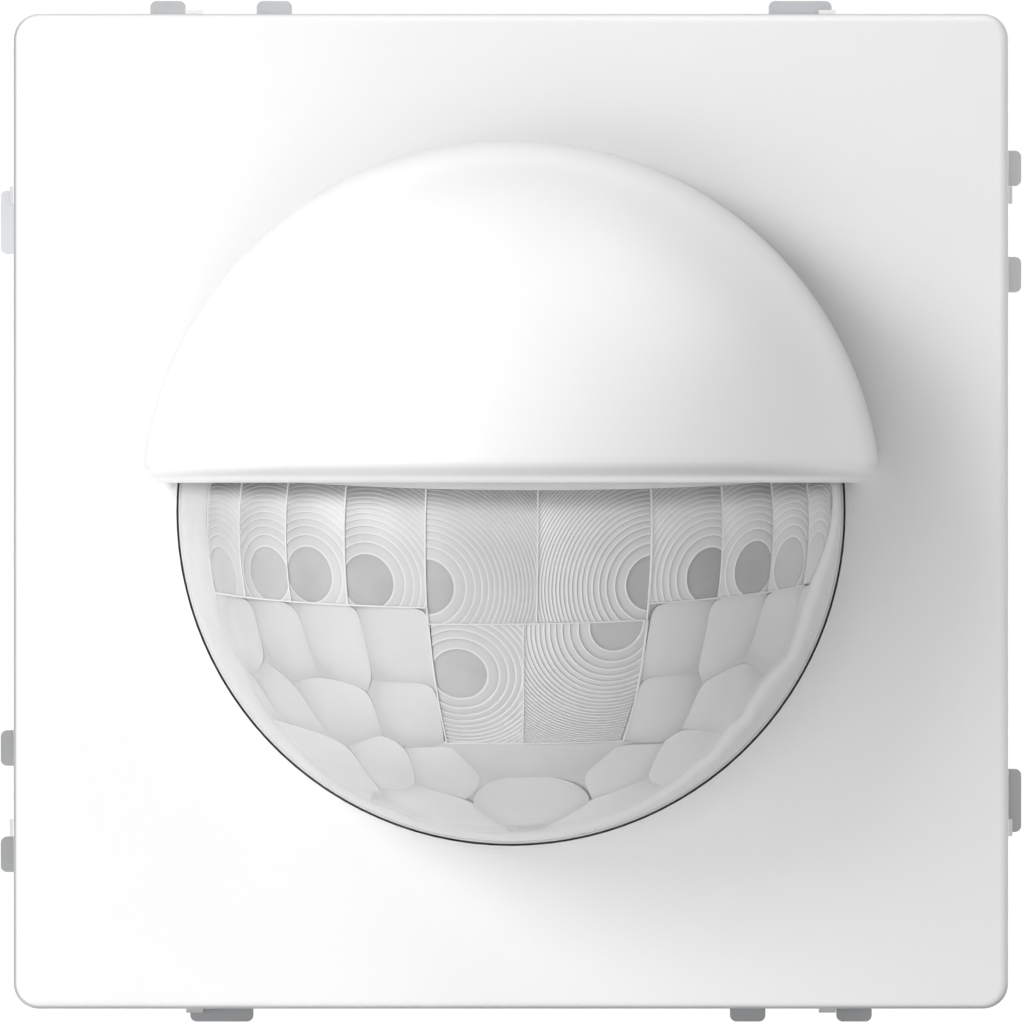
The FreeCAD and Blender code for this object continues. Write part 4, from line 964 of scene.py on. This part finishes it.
def area(name, place, aim, size, power, size_y=None, colour=(1, 1, 1), spread=180.0):
    d = bpy.data.lights.new(name, "AREA")
    d.energy = power
    d.color = colour
    d.shape = "RECTANGLE"
    d.size = size
    d.size_y = size_y or size
    d.spread = math.radians(spread)
    o = bpy.data.objects.new(name, d)
    o.location = place
    o.rotation_euler = (Vector(aim) - Vector(place)).to_track_quat("-Z", "Y").to_euler()
    scene.collection.objects.link(o)
    return o


def lamp(name, off, turn, dist, size, power):
    """A soft panel: off is its angle from the object's front axis, turn the
    angle round that axis, from the right by the top."""
    a, e = math.radians(off), math.radians(turn)
    d = Vector((math.sin(a) * math.cos(e), -math.cos(a), math.sin(a) * math.sin(e)))
    c = Vector((0.0, -0.015, 0.0))
    area(name, c + d * dist, c, size, power)


lamp("key_upper_left", 50, 150, 0.60, 0.26, 1.54)
lamp("key_left", 70, 150, 0.60, 0.22, 0.664)
lamp("front_left_near", 40, 200, 0.20, 0.10, 0.0440)
lamp("front_left", 28, 180, 0.60, 0.30, 0.35)
lamp("fill_low_left", 75, 240, 0.19, 0.09, 0.094)
lamp("top_left", 84, 120, 0.60, 0.20, 1.148)
lamp("rim_top_right", 84, 60, 0.60, 0.42, 0.632)
lamp("front_low", 28, 270, 0.60, 0.30, 0.60)
lamp("back_left", 161, 172, 0.70, 0.36, 1.0)
lamp("back_right", 161, 8, 0.70, 0.36, 1.0)
# every lamp is sampled at every point, so that the panels at grazing angles
# keep their full light on the flat cover
scene.cycles.use_light_tree = False

world = bpy.data.worlds.new("studio")
scene.world = world
world.use_nodes = True
wt = world.node_tree
bg = wt.nodes["Background"]
bg.inputs["Color"].default_value = (1, 1, 1, 1)


def wnode(kind, op=None, a=None, b=None):
    n = wt.nodes.new(kind)
    if op:
        n.operation = op
    for i, v in enumerate((a, b)):
        if isinstance(v, (int, float)):
            n.inputs[i].default_value = v
        elif v is not None:
            wt.links.new(v, n.inputs[i])
    return n.outputs[0]


# a dim room that is brighter towards the right and the top
axes = wt.nodes.new("ShaderNodeSeparateXYZ")
wt.links.new(wt.nodes.new("ShaderNodeTexCoord").outputs["Generated"], axes.inputs[0])
to_right = wnode("ShaderNodeMath", "MULTIPLY",
                 wnode("ShaderNodeMath", "MAXIMUM", axes.outputs[0], 0.0), 0.905)
to_top = wnode("ShaderNodeMath", "MULTIPLY",
               wnode("ShaderNodeMath", "MAXIMUM", axes.outputs[2], 0.0), 0.02)
wt.links.new(wnode("ShaderNodeMath", "ADD", wnode("ShaderNodeMath", "ADD", to_right, to_top), 0.01),
             bg.inputs["Strength"])
# what the camera sees round the object: a white panel straight behind it, pale
# grey elsewhere
seen = wt.nodes.new("ShaderNodeBackground")
seen.inputs["Color"].default_value = (1, 1, 1, 1)
panel = wt.nodes.new("ShaderNodeMapRange")
panel.interpolation_type = "SMOOTHSTEP"
wt.links.new(axes.outputs[1], panel.inputs["Value"])
for socket, v in (("From Min", 0.90), ("From Max", 0.99), ("To Min", 0.78), ("To Max", 1.05)):
    panel.inputs[socket].default_value = v
wt.links.new(panel.outputs[0], seen.inputs["Strength"])
path = wt.nodes.new("ShaderNodeLightPath")
pick = wt.nodes.new("ShaderNodeMixShader")
wt.links.new(path.outputs["Is Camera Ray"], pick.inputs["Fac"])
wt.links.new(bg.outputs[0], pick.inputs[1])
wt.links.new(seen.outputs[0], pick.inputs[2])
wt.links.new(pick.outputs[0], wt.nodes["World Output"].inputs["Surface"])

scene.view_settings.view_transform = "Standard"
scene.view_settings.look = "None"
scene.view_settings.exposure = 0.0
scene.view_settings.gamma = 1.0

# --------------------------------------------------------------------- camera
WIDE = 72.05 * MM            # what the image's width takes in at the cover's face
cam_data = bpy.data.cameras.new("camera")
cam_data.sensor_width = 36.0
cam_data.lens = 1500.0
cam = bpy.data.objects.new("camera", cam_data)
scene.collection.objects.link(cam)
reach = WIDE / 2 / (18.0 / cam_data.lens)
cam.location = (0.07 * MM, -0.0115 - reach, -0.05 * MM)
cam.rotation_euler = (math.radians(90), 0, 0)
cam_data.clip_start = 0.1
cam_data.clip_end = 20.0
scene.camera = cam
